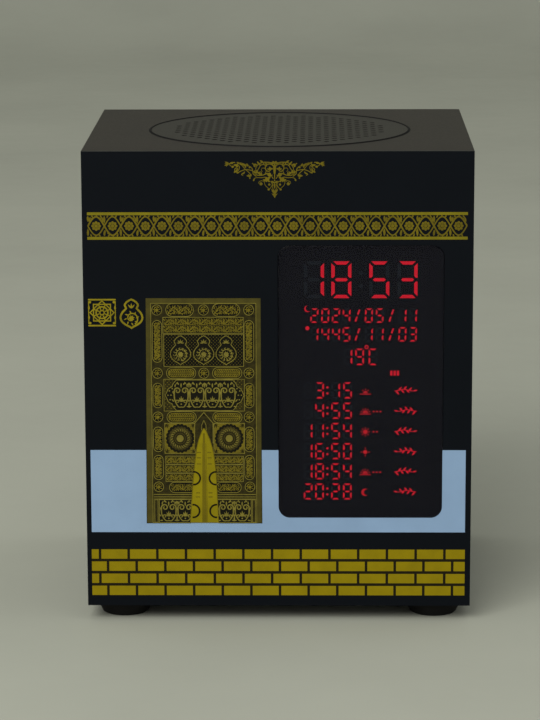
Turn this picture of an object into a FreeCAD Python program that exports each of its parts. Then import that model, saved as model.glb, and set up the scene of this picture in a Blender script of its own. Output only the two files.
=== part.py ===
import FreeCAD, Part

import math
import os
from types import SimpleNamespace

import Sketcher
from FreeCAD import Rotation, Vector

# Frame: X to the right, Y to the back, Z up from where the feet stand; X and Y from the centre.
SIZES = {
    # cabinet
    "cab_width": 146,
    "cab_depth": 125,
    "cab_height": 175,
    "board_thick": 8,
    "sheet_thick": 2,
    "baffle_thick": 6,
    "rear_thick": 5,
    "rear_inset": 2.5,
    "rear_play": 0.3,
    "block_size": 12,
    # feet
    "foot_height": 6,
    "foot_top_radius": 11.6,
    "foot_tip_radius": 9,
    "foot_setin_x": 13.5,
    "foot_setin_y": 15,
    # display window
    "window_edge": 10.8,
    "window_low": 34.6,
    "window_width": 62.3,
    "window_height": 105.1,
    "window_corner": 4.5,
    "window_play": 0.15,
    "diffuser_thick": 0.4,
    "mask_lap": 1,
    "mask_play": 0.3,
    "pcb_thick": 1.6,
    "led_board_lap_x": 2.3,
    "led_board_lap_z": 6,
    "led_height": 0.8,
    "led_width": 1.2,
    # rows of the display, placed from the middle of the window
    "digit_height": 14.2,
    "digit_width": 8,
    "digit_stroke": 1.45,
    "digit_gap": 0.5,
    "time_rise": 39.15,
    "time_shift": 0.05,
    "pair_offset": 12.5,
    "digit_pitch": 10.5,
    "well_pitch_z": 7.9,
    "well_height": 6.6,
    "well_drop": 3.45,
    "rows_reach": 21.75,
    "well_width": 18.9,
    "date_width": 43.6,
    "date_height": 6,
    "date_rise": 18.25,
    "date_pitch": 7.2,
    "temp_width": 10.6,
    "temp_rise": 9.55,
    "icon_reach": 0.55,
    "icon_width": 22.5,
    "receiver_setin": 6.2,
    "receiver_size": 6,
    "receiver_depth": 4,
    # loudspeaker grille
    "grille_radius": 50.6,
    "grille_play": 0.3,
    "grille_thick": 1,
    "grille_skirt": 3,
    "field_radius": 43,
    "hole_pitch": 4.3,
    "hole_radius": 1.25,
    "hole_sides": 4,
    # loudspeaker, whose turned pieces are many-sided with flat sides, as the feet are
    "driver_sides": 16,
    "foot_sides": 24,
    "cell_sides": 12,
    "screw_sides": 6,
    "speaker_hole_radius": 42,
    "flange_radius": 47,
    "flange_inner_radius": 39.5,
    "flange_thick": 1.5,
    "gasket_thick": 1,
    "basket_drop": 20,
    "basket_wall": 1.2,
    "basket_base_radius": 26,
    "basket_bore_radius": 12,
    "plate_radius": 22.5,
    "plate_thick": 4,
    "magnet_radius": 27.5,
    "magnet_bore_radius": 12.5,
    "magnet_thick": 9,
    "yoke_radius": 24,
    "pole_radius": 9,
    "coil_gap": 0.4,
    "coil_wall": 0.6,
    "coil_reach_low": 8,
    "coil_reach_high": 6,
    "cone_radius": 33,
    "cone_wall": 0.7,
    "cone_set_back": 2,
    "cone_glue": 0.1,
    "surround_thick": 0.6,
    "surround_lip": 2,
    "surround_rise": 1.2,
    "dust_cap_radius": 13,
    "dust_cap_height": 4,
    "spider_radius": 22,
    "spider_thick": 0.5,
    "spider_lift": 1.8,
    # boards, controls and sockets behind
    "plate_width": 76,
    "plate_height": 32,
    "control_plate_thick": 1.5,
    "cutout_width": 66,
    "cutout_height": 24,
    "controls_up": 47,
    "main_board_width": 84,
    "main_board_height": 46,
    "standoff_length": 4,
    "standoff_radius": 3,
    "standoff_setin": 3.5,
    "row_rise": 5.5,
    "button_count": 5,
    "button_pitch": 12,
    "button_width": 6,
    "button_height": 4,
    "button_play": 0.2,
    "button_proud": 1,
    "button_lip": 0.7,
    "button_travel": 0.5,
    "plunger_size": 2,
    "tact_size": 6,
    "tact_height": 3.5,
    "knob_width": 2.6,
    "knob_height": 2.4,
    "knob_travel": 2.5,
    "knob_proud": 0.9,
    "switch_width": 9,
    "switch_height": 4.4,
    "switch_depth": 5,
    "switch_groove": 1.5,
    "jack_bore_radius": 1.8,
    "jack_size": 6.4,
    "jack_end_wall": 1,
    "inlet_width": 9,
    "inlet_height": 3.4,
    "inlet_wall": 0.4,
    "inlet_tongue": 0.7,
    "slot_width": 12,
    "slot_height": 1.8,
    "slot_wall": 0.8,
    "socket_pitch": 18,
    # parts on the main board, and the leads
    "cell_radius": 10,
    "cell_thick": 3.2,
    "cell_across": -26,
    "holder_wall": 1.5,
    "chip_thick": 1.6,
    "capacitor_radius": 3,
    "capacitor_length": 8,
    "connector_depth": 5,
    "connector_height": 5,
    "ribbon_across": 20,
    "ribbon_width": 14,
    "ribbon_thick": 0.8,
    "lead_across": 3,
    "lead_width": 2.4,
    "lead_thick": 1.2,
    # probe
    "probe_across": 15.5,
    "probe_setin": 11,
    "probe_radius": 1.3,
    "probe_play": 0.3,
    "probe_hang": 2.9,
    "probe_length": 17,
    # screws
    "screw_radius": 1.5,
    "screw_head_radius": 2.8,
    "screw_head_height": 1.6,
    "screw_length": 12,
    "screw_play": 0.3,
    "plate_screw_head": 0.9,
}

doc = FreeCAD.newDocument("AzanClock")
sheet = doc.addObject("Spreadsheet::Sheet", "Sizes")


class Size:
    """A length, with the expression that works it out from the spreadsheet."""

    def __init__(self, value, text):
        self.value = value
        self.text = text

    def joined(self, sign, other, value):
        return Size(value, f"({self.text} {sign} {other.text})")

    def __add__(self, other):
        other = as_size(other)
        return self.joined("+", other, self.value + other.value)

    def __sub__(self, other):
        other = as_size(other)
        return self.joined("-", other, self.value - other.value)

    def __mul__(self, other):
        other = as_size(other)
        return self.joined("*", other, self.value * other.value)

    def __truediv__(self, other):
        other = as_size(other)
        return self.joined("/", other, self.value / other.value)

    def __radd__(self, other):
        return as_size(other) + self

    def __rsub__(self, other):
        return as_size(other) - self

    def __rmul__(self, other):
        return as_size(other) * self

    def __neg__(self):
        return as_size(0) - self


def as_size(number):
    if isinstance(number, Size):
        return number
    return Size(float(number), f"({float(number)})")


def fill_sheet():
    """Writes each driving size into the spreadsheet and gives it back under its own name."""
    named = {}
    for row, (name, number) in enumerate(SIZES.items(), start=1):
        sheet.set(f"A{row}", name)
        sheet.set(f"B{row}", str(number))
        sheet.setAlias(f"B{row}", name)
        named[name] = Size(float(number), f"Sizes.{name}")
    doc.recompute()
    return SimpleNamespace(**named)


s = fill_sheet()
nodes = {}

# places that several pieces share
FRONT = -s.cab_depth / 2
SHEET_BACK = FRONT + s.sheet_thick
BAFFLE_BACK = SHEET_BACK + s.baffle_thick
REAR = s.cab_depth / 2
PANEL_BACK = REAR - s.rear_inset
PANEL_FRONT = PANEL_BACK - s.rear_thick
SIDE = s.cab_width / 2
INNER_SIDE = SIDE - s.board_thick
LOW = s.foot_height
TOP = s.foot_height + s.cab_height
INNER_LOW = LOW + s.board_thick
INNER_TOP = TOP - s.board_thick
EYE = s.controls_up + LOW
BOARD_BACK = PANEL_FRONT - s.standoff_length
BOARD_FRONT = BOARD_BACK - s.pcb_thick
WINDOW_RIGHT = SIDE - s.window_edge
WINDOW_LEFT = WINDOW_RIGHT - s.window_width
WINDOW_LOW = LOW + s.window_low
WINDOW_HIGH = WINDOW_LOW + s.window_height
WINDOW_MIDDLE = (WINDOW_LEFT + WINDOW_RIGHT) / 2
WINDOW_EYE = (WINDOW_LOW + WINDOW_HIGH) / 2
TIME_MIDDLE = WINDOW_MIDDLE - s.time_shift
MASK_FRONT = SHEET_BACK + s.diffuser_thick
LED_FRONT = BAFFLE_BACK
LED_BACK = BAFFLE_BACK + s.pcb_thick


def bind(thing, name, amount):
    thing.setExpression(name, as_size(amount).text)


def keep(label, thing):
    """Takes a finished sub-part into the list of files to write."""
    thing.Label = label
    nodes[label] = thing
    return thing


def block(name, x, y, z):
    """A box between two places on each axis."""
    box = doc.addObject("Part::Box", name)
    for (low, high), length, axis in ((x, "Length", "x"), (y, "Width", "y"), (z, "Height", "z")):
        bind(box, length, as_size(high) - low)
        bind(box, f"Placement.Base.{axis}", low)
    return box


def turned(kind, name, centre, along, span, radius_name, radius):
    """A cylinder or a prism on a line along Y or Z, from the first place of its span to the second."""
    thing = doc.addObject(kind, name)
    across, other = centre
    start, end = span
    if along == "y":
        thing.Placement.Rotation = Rotation(Vector(1, 0, 0), -90)
    bind(thing, radius_name, radius)
    bind(thing, "Height", as_size(end) - start)
    bind(thing, "Placement.Base.x", across)
    bind(thing, "Placement.Base.y", start if along == "y" else other)
    bind(thing, "Placement.Base.z", other if along == "y" else start)
    return thing


def rod(name, centre, along, span, radius):
    return turned("Part::Cylinder", name, centre, along, span, "Radius", radius)


def prism(name, centre, along, span, radius, sides=s.screw_sides):
    thing = turned("Part::Prism", name, centre, along, span, "Circumradius", radius)
    bind(thing, "Polygon", sides)
    return thing


def many_sided(name, corners, sides, centre=(0, 0)):
    """A piece turned about an upright line from its outline of radii and heights, with flat sides."""
    places = [(as_size(radius).value, as_size(up).value) for radius, up in corners]
    count = int(sides.value)
    rings = []
    for i in range(count):
        cosine, sine = math.cos(2 * math.pi * i / count), math.sin(2 * math.pi * i / count)
        rings.append([Vector(radius * cosine, radius * sine, up) for radius, up in places])
    faces = []
    for i, (first, second) in enumerate(zip(places, places[1:] + places[:1])):
        after = (i + 1) % len(places)
        if first[0] == 0 and second[0] == 0:
            continue
        if first[1] == second[1] and 0 in (first[0], second[0]):
            face_ring = [ring[after if first[0] == 0 else i] for ring in rings]
            faces.append(Part.Face(Part.makePolygon(face_ring + face_ring[:1])))
            continue
        for here, there in zip(rings, rings[1:] + rings[:1]):
            points = [here[i], here[after], there[after], there[i]]
            points = [point for k, point in enumerate(points) if (point - points[k - 1]).Length > 1e-9]
            faces.append(Part.Face(Part.makePolygon(points + points[:1])))
    solid = Part.Solid(Part.makeShell(faces))
    if solid.Volume < 0:
        solid.reverse()
    feature = doc.addObject("Part::Feature", name)
    feature.Shape = solid
    bind(feature, "Placement.Base.x", centre[0])
    bind(feature, "Placement.Base.y", centre[1])
    return feature


def fused(name, parts):
    union = doc.addObject("Part::MultiFuse", name)
    union.Shapes = parts
    union.Refine = True
    return union


def cut(name, base, tools):
    """The base less its tools."""
    result = doc.addObject("Part::Cut", name)
    result.Base = base
    result.Tool = tools[0] if len(tools) == 1 else fused(name + "_tools", tools)
    return result


def group(name, parts):
    """Separate solids that share one file."""
    bundle = doc.addObject("Part::Compound", name)
    bundle.Links = parts
    return bundle


def origin_feature(body, role):
    return next(item for item in body.Origin.OriginFeatures if item.Role == role)


def outline(body, name, role, corners, level=0):
    """A closed outline of straight lines on one of the body's own planes, its corners held by sizes."""
    sketch = body.newObject("Sketcher::SketchObject", name)
    sketch.AttachmentSupport = [(origin_feature(body, role), "")]
    sketch.MapMode = "FlatFace"
    bind(sketch, "AttachmentOffset.Base.z", level)
    places = [(as_size(across), as_size(up)) for across, up in corners]
    points = [Vector(across.value, up.value, 0) for across, up in places]
    count = len(points)
    for i in range(count):
        sketch.addGeometry(Part.LineSegment(points[i], points[(i + 1) % count]))
    for i in range(count):
        sketch.addConstraint(Sketcher.Constraint("Coincident", i, 2, (i + 1) % count, 1))
    for i, (across, up) in enumerate(places):
        for kind, amount in (("DistanceX", across), ("DistanceY", up)):
            held = sketch.addConstraint(Sketcher.Constraint(kind, -1, 1, i, 1, amount.value))
            sketch.setExpression(f"Constraints[{held}]", amount.text)
    return sketch


def rectangle(x, z):
    return [(x[0], z[0]), (x[1], z[0]), (x[1], z[1]), (x[0], z[1])]


def pad_back(body, name, corners, start, end):
    """A plate whose outline is seen from the front, from one depth to another."""
    sketch = outline(body, name + "_outline", "XZ_Plane", corners, -as_size(start))
    pad = body.newObject("PartDesign::Pad", name)
    pad.Profile = sketch
    pad.Reversed = True
    bind(pad, "Length", as_size(end) - start)
    doc.recompute()
    return pad


def pocket_back(body, name, corners, start, end):
    """A cut-out whose outline is seen from the front, from one depth to another."""
    sketch = outline(body, name + "_outline", "XZ_Plane", corners, -as_size(start))
    pocket = body.newObject("PartDesign::Pocket", name)
    pocket.Profile = sketch
    bind(pocket, "Length", as_size(end) - start)
    doc.recompute()
    return pocket


def rounded(body, name, base, edges, radius):
    fillet = body.newObject("PartDesign::Fillet", name)
    fillet.Base = (base, edges)
    bind(fillet, "Radius", radius)
    doc.recompute()
    return fillet


def edges_through(shape, places):
    """The names of the straight edges along Y that pass through these places, seen from the front."""
    found = []
    for number, edge in enumerate(shape.Edges, start=1):
        first, last = edge.Vertexes[0].Point, edge.Vertexes[-1].Point
        if abs(first.y - last.y) < 1e-6:
            continue
        if any(abs(first.x - x.value) < 1e-4 and abs(first.z - z.value) < 1e-4 for x, z in places):
            found.append(f"Edge{number}")
    return found


def revolved(label, corners):
    """A turned piece on the vertical centre line, from its outline of radii and heights."""
    body = doc.addObject("PartDesign::Body", label)
    sketch = outline(body, label + "_outline", "XZ_Plane", corners)
    turn = body.newObject("PartDesign::Revolution", label + "_turn")
    turn.Profile = sketch
    turn.ReferenceAxis = (sketch, ["V_Axis"])
    turn.Angle = 360
    doc.recompute()
    return body


def drilled(body, name, centre, radius, level, depth):
    """A round hole straight down from a level."""
    sketch = body.newObject("Sketcher::SketchObject", name + "_outline")
    sketch.AttachmentSupport = [(origin_feature(body, "XY_Plane"), "")]
    sketch.MapMode = "FlatFace"
    bind(sketch, "AttachmentOffset.Base.z", level)
    across, back = as_size(centre[0]), as_size(centre[1])
    radius = as_size(radius)
    circle = Part.Circle(Vector(across.value, back.value, 0), Vector(0, 0, 1), radius.value)
    sketch.addGeometry(circle)
    for kind, amount in (("DistanceX", across), ("DistanceY", back)):
        held = sketch.addConstraint(Sketcher.Constraint(kind, -1, 1, 0, 3, amount.value))
        sketch.setExpression(f"Constraints[{held}]", amount.text)
    held = sketch.addConstraint(Sketcher.Constraint("Radius", 0, radius.value))
    sketch.setExpression(f"Constraints[{held}]", radius.text)
    pocket = body.newObject("PartDesign::Pocket", name)
    pocket.Profile = sketch
    bind(pocket, "Length", depth)
    doc.recompute()
    return pocket


# cabinet: four boards mitred at the corners, a baffle inside the front and a panel inside the back
def mitred_board(label, outer, inner):
    """A board from the front sheet to the back, its outline given by two outer and two inner corners."""
    body = doc.addObject("PartDesign::Body", label)
    pad_back(body, label + "_pad", [outer[0], outer[1], inner[1], inner[0]], SHEET_BACK, REAR)
    return keep(label, body)


def cabinet():
    outer = {"ll": (-SIDE, LOW), "lr": (SIDE, LOW), "ur": (SIDE, TOP), "ul": (-SIDE, TOP)}
    inner = {
        "ll": (-INNER_SIDE, INNER_LOW),
        "lr": (INNER_SIDE, INNER_LOW),
        "ur": (INNER_SIDE, INNER_TOP),
        "ul": (-INNER_SIDE, INNER_TOP),
    }
    ends = {
        "top_board": ("ul", "ur"),
        "left_side_board": ("ll", "ul"),
        "right_side_board": ("lr", "ur"),
        "bottom_board": ("ll", "lr"),
    }
    for label, (first, last) in ends.items():
        mitred_board(label, (outer[first], outer[last]), (inner[first], inner[last]))
    drilled(nodes["top_board"], "grille_seat", (0, 0), s.grille_radius + s.grille_play, TOP, s.grille_skirt)
    drilled(nodes["top_board"], "speaker_hole", (0, 0), s.speaker_hole_radius, TOP, s.board_thick)
    probe = (s.probe_across, FRONT + s.probe_setin)
    radius = s.probe_radius + s.probe_play
    drilled(nodes["bottom_board"], "probe_hole", probe, radius, INNER_LOW, s.board_thick)

    baffle = doc.addObject("PartDesign::Body", "front_baffle")
    face = rectangle((-INNER_SIDE, INNER_SIDE), (INNER_LOW, INNER_TOP))
    pad_back(baffle, "baffle_pad", face, SHEET_BACK, BAFFLE_BACK)
    reach = s.mask_lap + s.mask_play
    across = (WINDOW_LEFT - reach, WINDOW_RIGHT + reach)
    up = (WINDOW_LOW - reach, WINDOW_HIGH + reach)
    pocket_back(baffle, "display_opening", rectangle(across, up), SHEET_BACK, BAFFLE_BACK)
    keep("front_baffle", baffle)

    panel = doc.addObject("PartDesign::Body", "rear_panel")
    across = INNER_SIDE - s.rear_play
    face = rectangle((-across, across), (INNER_LOW + s.rear_play, INNER_TOP - s.rear_play))
    pad_back(panel, "panel_pad", face, PANEL_FRONT, PANEL_BACK)
    across = s.cutout_width / 2
    up = (EYE - s.cutout_height / 2, EYE + s.cutout_height / 2)
    pocket_back(panel, "control_cutout", rectangle((-across, across), up), PANEL_FRONT, PANEL_BACK)
    corners = [
        (side * (INNER_SIDE - s.block_size / 2), up)
        for side in (-1, 1)
        for up in (INNER_LOW + s.block_size / 2, INNER_TOP - s.block_size / 2)
    ]
    holes = [
        prism(f"rear_screw_hole_{i}", at, "y", (PANEL_FRONT, PANEL_BACK), s.screw_radius + s.screw_play)
        for i, at in enumerate(corners)
    ]
    keep("rear_panel", cut("rear_panel_drilled", panel, holes))
    keep("rear_screws", group("rear_screws", [
        screw(f"rear_screw_{i}", at, "y", PANEL_BACK, -1, s.screw_length) for i, at in enumerate(corners)
    ]))
    blocks = []
    for i, (across, up) in enumerate(corners):
        half = s.block_size / 2
        depth = (PANEL_FRONT - s.block_size, PANEL_FRONT)
        spans = (across - half, across + half), (up - half, up + half)
        blocks.append(block(f"corner_block_{i}", spans[0], depth, spans[1]))
    keep("corner_blocks", group("corner_blocks", blocks))


def screw(name, centre, along, seat, way, length, head_height=s.screw_head_height):
    """A pan-head screw: its head stands on the seat and its shank goes the given way along the line."""
    if way < 0:
        shank, head = (seat - length, seat), (seat, seat + head_height)
    else:
        shank, head = (seat, seat + length), (seat - head_height, seat)
    return fused(name, [
        prism(name + "_shank", centre, along, shank, s.screw_radius),
        prism(name + "_head", centre, along, head, s.screw_head_radius),
    ])


def front():
    """The printed sheet over the whole front and the smoked window set flush in it."""
    body = doc.addObject("PartDesign::Body", "front_sheet")
    pad_back(body, "sheet_pad", rectangle((-SIDE, SIDE), (LOW, TOP)), FRONT, SHEET_BACK)
    opening = rectangle((WINDOW_LEFT, WINDOW_RIGHT), (WINDOW_LOW, WINDOW_HIGH))
    pocket = pocket_back(body, "window_opening", opening, FRONT, SHEET_BACK)
    edges = edges_through(body.Shape, opening)
    rounded(body, "window_opening_corners", pocket, edges, s.window_corner)
    keep("front_sheet", body)

    body = doc.addObject("PartDesign::Body", "display_window")
    play = s.window_play
    face = rectangle((WINDOW_LEFT + play, WINDOW_RIGHT - play), (WINDOW_LOW + play, WINDOW_HIGH - play))
    pad = pad_back(body, "window_pad", face, FRONT, SHEET_BACK)
    edges = edges_through(body.Shape, face)
    rounded(body, "window_corners", pad, edges, s.window_corner - play)
    keep("display_window", body)


# display: diffuser film, mask with a light well under each segment, and the board that carries the LEDs
def segment_outlines(left, low):
    """The seven bars of one digit as outlines of (across, up) places, mitred where they meet."""
    wide, tall, bar = s.digit_width.value, s.digit_height.value, s.digit_stroke.value
    gap, middle, half = s.digit_gap.value, s.digit_height.value / 2, s.digit_stroke.value / 2
    top = [(gap, tall), (wide - gap, tall), (wide - bar - gap, tall - bar), (bar + gap, tall - bar)]
    side = [(0, tall - gap), (bar, tall - bar - gap), (bar, middle + half + gap)]
    side += [(half, middle + gap), (0, middle + gap)]
    across = [(half + gap, middle), (bar + gap, middle + half), (wide - bar - gap, middle + half)]
    across += [(wide - x, tall - up) for x, up in across]
    bars = [top, [(x, tall - up) for x, up in top], across]
    for bar_points in (side, [(wide - x, up) for x, up in side]):
        bars += [bar_points, [(x, tall - up) for x, up in bar_points]]
    return [[(left + x, low + up) for x, up in points] for points in bars]


def digit_lefts():
    """The left edges of the four big digits."""
    lefts = []
    for side in (-1, 1):
        middle = TIME_MIDDLE.value + side * s.pair_offset.value
        for step in (-0.5, 0.5):
            lefts.append(middle + step * s.digit_pitch.value - s.digit_width.value / 2)
    return lefts


def well_openings():
    """The wells of the small rows, as spans across and up."""
    rows_left = WINDOW_MIDDLE - s.rows_reach
    icons_left = WINDOW_MIDDLE - s.icon_reach
    half = s.well_height / 2
    openings = []
    for row in range(6):
        middle = WINDOW_EYE - s.well_drop - row * s.well_pitch_z
        openings.append(((rows_left, rows_left + s.well_width), (middle - half, middle + half)))
        openings.append(((icons_left, icons_left + s.icon_width), (middle - half, middle + half)))
    for row in range(2):
        middle = WINDOW_EYE + s.date_rise + row * s.date_pitch
        up = (middle - s.date_height / 2, middle + s.date_height / 2)
        openings.append(((rows_left, rows_left + s.date_width), up))
    middle = WINDOW_EYE + s.temp_rise
    temp = (TIME_MIDDLE - s.temp_width / 2, TIME_MIDDLE + s.temp_width / 2)
    openings.append((temp, (middle - half, middle + half)))
    reach = s.receiver_size / 2 + s.mask_play
    eye = WINDOW_RIGHT - s.receiver_setin
    openings.append(((eye - reach, eye + reach), (middle - reach, middle + reach)))
    return openings


def segment_wells(start, end):
    """The wells of the big digits and the colon, cut from the front of the mask to its back."""
    low = WINDOW_EYE.value + s.time_rise.value - s.digit_height.value / 2
    outlines = [bar for left in digit_lefts() for bar in segment_outlines(left, low)]
    half = s.digit_stroke.value / 2
    middle = TIME_MIDDLE.value
    for rise in (-1, 1):
        up = low + s.digit_height.value * (0.5 + rise * 0.17)
        corners = ((-half, -half), (half, -half), (half, half), (-half, half))
        outlines.append([(middle + x, up + z) for x, z in corners])
    wells = []
    for points in outlines:
        corners = [Vector(across, start.value, up) for across, up in points]
        face = Part.Face(Part.makePolygon(corners + corners[:1]))
        wells.append(face.extrude(Vector(0, end.value - start.value, 0)))
    feature = doc.addObject("Part::Feature", "segment_wells")
    feature.Shape = Part.makeCompound(wells)
    return feature, outlines


def display():
    lap = s.mask_lap
    across = (WINDOW_LEFT - lap, WINDOW_RIGHT + lap)
    up = (WINDOW_LOW - lap, WINDOW_HIGH + lap)
    keep("display_diffuser", block("display_diffuser", across, (SHEET_BACK, MASK_FRONT), up))
    wells, outlines = segment_wells(MASK_FRONT, LED_FRONT)
    openings = [
        block(f"well_{i}", well, (MASK_FRONT, LED_FRONT), rise)
        for i, (well, rise) in enumerate(well_openings())
    ]
    plate = block("mask_plate", across, (MASK_FRONT, LED_FRONT), up)
    keep("display_mask", cut("display_mask", plate, [wells] + openings))

    lap_x, lap_z = s.led_board_lap_x, s.led_board_lap_z
    across = (WINDOW_LEFT - lap_x * 2, WINDOW_RIGHT + lap_x)
    up = (WINDOW_LOW - lap_z, WINDOW_HIGH + lap_z)
    left, right = across[0] + lap_z / 2, across[1] - lap_z
    places = [(x, z) for x in (left, right) for z in (up[0] + lap_z * 0.4, up[1] - lap_z * 0.4)]
    holes = [
        prism(f"led_board_hole_{i}", at, "y", (LED_FRONT, LED_BACK), s.screw_radius + s.screw_play)
        for i, at in enumerate(places)
    ]
    board = block("led_board_plate", across, (LED_FRONT, LED_BACK), up)
    keep("led_board", cut("led_board", board, holes))
    half = s.led_width.value / 2
    chips = []
    for i, points in enumerate(outlines):
        middle_x = sum(point[0] for point in points) / len(points)
        middle_z = sum(point[1] for point in points) / len(points)
        depth = (LED_FRONT - s.led_height, LED_FRONT)
        spans = (middle_x - half, middle_x + half), (middle_z - half, middle_z + half)
        chips.append(block(f"led_{i}", spans[0], depth, spans[1]))
    keep("big_digit_leds", group("big_digit_leds", chips))
    keep("display_screws", group("display_screws", [
        screw(f"display_screw_{i}", at, "y", LED_BACK, -1, s.pcb_thick + s.baffle_thick / 2)
        for i, at in enumerate(places)
    ]))


# loudspeaker: its grille lies flush in the top board, and the driver hangs under the board and fires up
def hole_field(top, thick):
    """The perforation: rows that stagger at 45 degrees, each hole with few sides and a round hole's area."""
    step = s.hole_pitch.value / math.sqrt(2)
    sides = int(s.hole_sides.value)
    turn = 2 * math.pi / sides
    radius = s.hole_radius.value * math.sqrt(turn / math.sin(turn))
    reach = s.field_radius.value - s.hole_radius.value
    count = math.ceil(reach / step)
    corner = [Vector(radius * math.cos(turn * i), radius * math.sin(turn * i), 0) for i in range(sides + 1)]
    holes = []
    for column in range(-count, count + 1):
        for row in range(-count, count + 1):
            middle = Vector(column * step, row * step, top.value - 2 * thick.value)
            if (column + row) % 2 or math.hypot(middle.x, middle.y) > reach:
                continue
            face = Part.Face(Part.makePolygon([middle + point for point in corner]))
            holes.append(face.extrude(Vector(0, 0, 3 * thick.value)))
    feature = doc.addObject("Part::Feature", "hole_field")
    feature.Shape = Part.makeCompound(holes)
    return feature


def grille():
    inner = s.grille_radius - s.grille_thick
    dish = revolved("grille_dish", [
        (0, TOP - s.grille_thick),
        (inner, TOP - s.grille_thick),
        (inner, TOP - s.grille_skirt),
        (s.grille_radius, TOP - s.grille_skirt),
        (s.grille_radius, TOP),
        (0, TOP),
    ])
    keep("speaker_grille", cut("speaker_grille", dish, [hole_field(TOP, s.grille_thick)]))


def basket(mouth, base, holes):
    """The pressed basket: a flange, a sloping wall with windows in it and a flat base."""
    wall = s.basket_wall
    shell = many_sided("basket_shell", [
        (s.flange_inner_radius, mouth),
        (s.flange_inner_radius, mouth - s.flange_thick),
        (s.basket_base_radius - wall, base + wall),
        (s.basket_bore_radius, base + wall),
        (s.basket_bore_radius, base),
        (s.basket_base_radius, base),
        (s.flange_inner_radius + wall, mouth - s.flange_thick),
        (s.flange_radius, mouth - s.flange_thick),
        (s.flange_radius, mouth),
    ], s.driver_sides)
    rise = (base + 2 * wall, mouth - s.flange_thick - 2 * wall)
    half = s.basket_base_radius / 2
    windows = [
        block("basket_windows_y", (-half, half), (-s.flange_radius, s.flange_radius), rise),
        block("basket_windows_x", (-s.flange_radius, s.flange_radius), (-half, half), rise),
    ]
    return cut("speaker_basket", shell, windows + holes)


def speaker():
    mouth = INNER_TOP - s.gasket_thick
    base = mouth - s.basket_drop
    ring = (s.flange_radius + s.speaker_hole_radius) * (math.cos(math.pi / 4) / 2)
    mounts = [(side * ring, other * ring) for side in (-1, 1) for other in (-1, 1)]
    seat = mouth - s.flange_thick
    keep("speaker_screws", group("speaker_screws", [
        screw(f"speaker_screw_{i}", at, "z", seat, 1, s.flange_thick + s.gasket_thick + s.board_thick / 3)
        for i, at in enumerate(mounts)
    ]))
    holes = [
        prism(f"flange_hole_{i}", at, "z", (seat, INNER_TOP), s.screw_radius + s.screw_play)
        for i, at in enumerate(mounts)
    ]
    gasket = many_sided("gasket_ring", [
        (s.speaker_hole_radius, mouth),
        (s.flange_radius, mouth),
        (s.flange_radius, INNER_TOP),
        (s.speaker_hole_radius, INNER_TOP),
    ], s.driver_sides)
    keep("speaker_gasket", cut("speaker_gasket", gasket, holes))
    keep("speaker_basket", basket(mouth, base, holes))
    magnet_top = base - s.plate_thick
    magnet_low = magnet_top - s.magnet_thick
    bore = s.pole_radius + 2 * s.coil_gap + s.coil_wall
    keep("speaker_top_plate", many_sided("speaker_top_plate", [
        (bore, magnet_top), (s.plate_radius, magnet_top), (s.plate_radius, base), (bore, base)
    ], s.driver_sides))
    keep("speaker_magnet", many_sided("speaker_magnet", [
        (s.magnet_bore_radius, magnet_low),
        (s.magnet_radius, magnet_low),
        (s.magnet_radius, magnet_top),
        (s.magnet_bore_radius, magnet_top),
    ], s.driver_sides))
    keep("speaker_yoke", many_sided("speaker_yoke", [
        (0, magnet_low - s.plate_thick),
        (s.yoke_radius, magnet_low - s.plate_thick),
        (s.yoke_radius, magnet_low),
        (s.pole_radius, magnet_low),
        (s.pole_radius, base),
        (0, base),
    ], s.driver_sides))
    coil_in = s.pole_radius + s.coil_gap
    coil_out = coil_in + s.coil_wall
    coil_top = base + s.coil_reach_high
    keep("voice_coil", many_sided("voice_coil", [
        (coil_in, base - s.coil_reach_low),
        (coil_out, base - s.coil_reach_low),
        (coil_out, coil_top),
        (coil_in, coil_top),
    ], s.driver_sides))
    neck = coil_out + s.cone_glue
    rim_top = mouth - s.cone_set_back
    keep("speaker_cone", many_sided("speaker_cone", [
        (neck, coil_top - 2 * s.cone_wall),
        (s.cone_radius, rim_top - s.cone_wall),
        (s.cone_radius, rim_top),
        (neck, coil_top),
    ], s.driver_sides))
    slope = (rim_top - coil_top) / (s.cone_radius - neck)
    cap_low = coil_top + slope * (s.dust_cap_radius - neck) + s.cone_glue
    shoulder = (s.dust_cap_radius / 2, cap_low + s.dust_cap_height * 0.8)
    keep("dust_cap", many_sided("dust_cap", [
        (0, cap_low), (s.dust_cap_radius, cap_low), shoulder, (0, cap_low + s.dust_cap_height)
    ], s.driver_sides))
    edge = s.cone_radius + s.cone_glue
    crest = (s.cone_radius + s.flange_inner_radius) / 2
    keep("speaker_surround", many_sided("speaker_surround", [
        (edge, rim_top - s.surround_thick),
        (crest, mouth + s.surround_rise - s.surround_thick),
        (s.flange_inner_radius, mouth),
        (s.flange_inner_radius + s.surround_lip, mouth),
        (s.flange_inner_radius + s.surround_lip, mouth + s.surround_thick),
        (crest, mouth + s.surround_rise),
        (edge, rim_top),
    ], s.driver_sides))
    floor = base + s.basket_wall
    keep("speaker_spider", many_sided("speaker_spider", [
        (coil_out + s.cone_glue, floor + s.spider_lift),
        (s.spider_radius - s.surround_lip, floor),
        (s.spider_radius, floor),
        (s.spider_radius, floor + s.spider_thick),
        (s.spider_radius - s.surround_lip, floor + s.spider_thick),
        (coil_out + s.cone_glue, floor + s.spider_lift + s.spider_thick),
    ], s.driver_sides))
    tag = (s.basket_base_radius - s.basket_wall, s.basket_base_radius + 6)
    keep("speaker_terminals", block("speaker_terminals", (-5, 5), tag, (base - s.basket_wall, base)))


# controls and sockets: they stand on the main board and show through a plate in the rear panel
def socket_across(place):
    """Inlet, switch, card slot and jack stand in one row at even steps, numbered from 0."""
    return (place - 1.5) * s.socket_pitch


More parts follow.
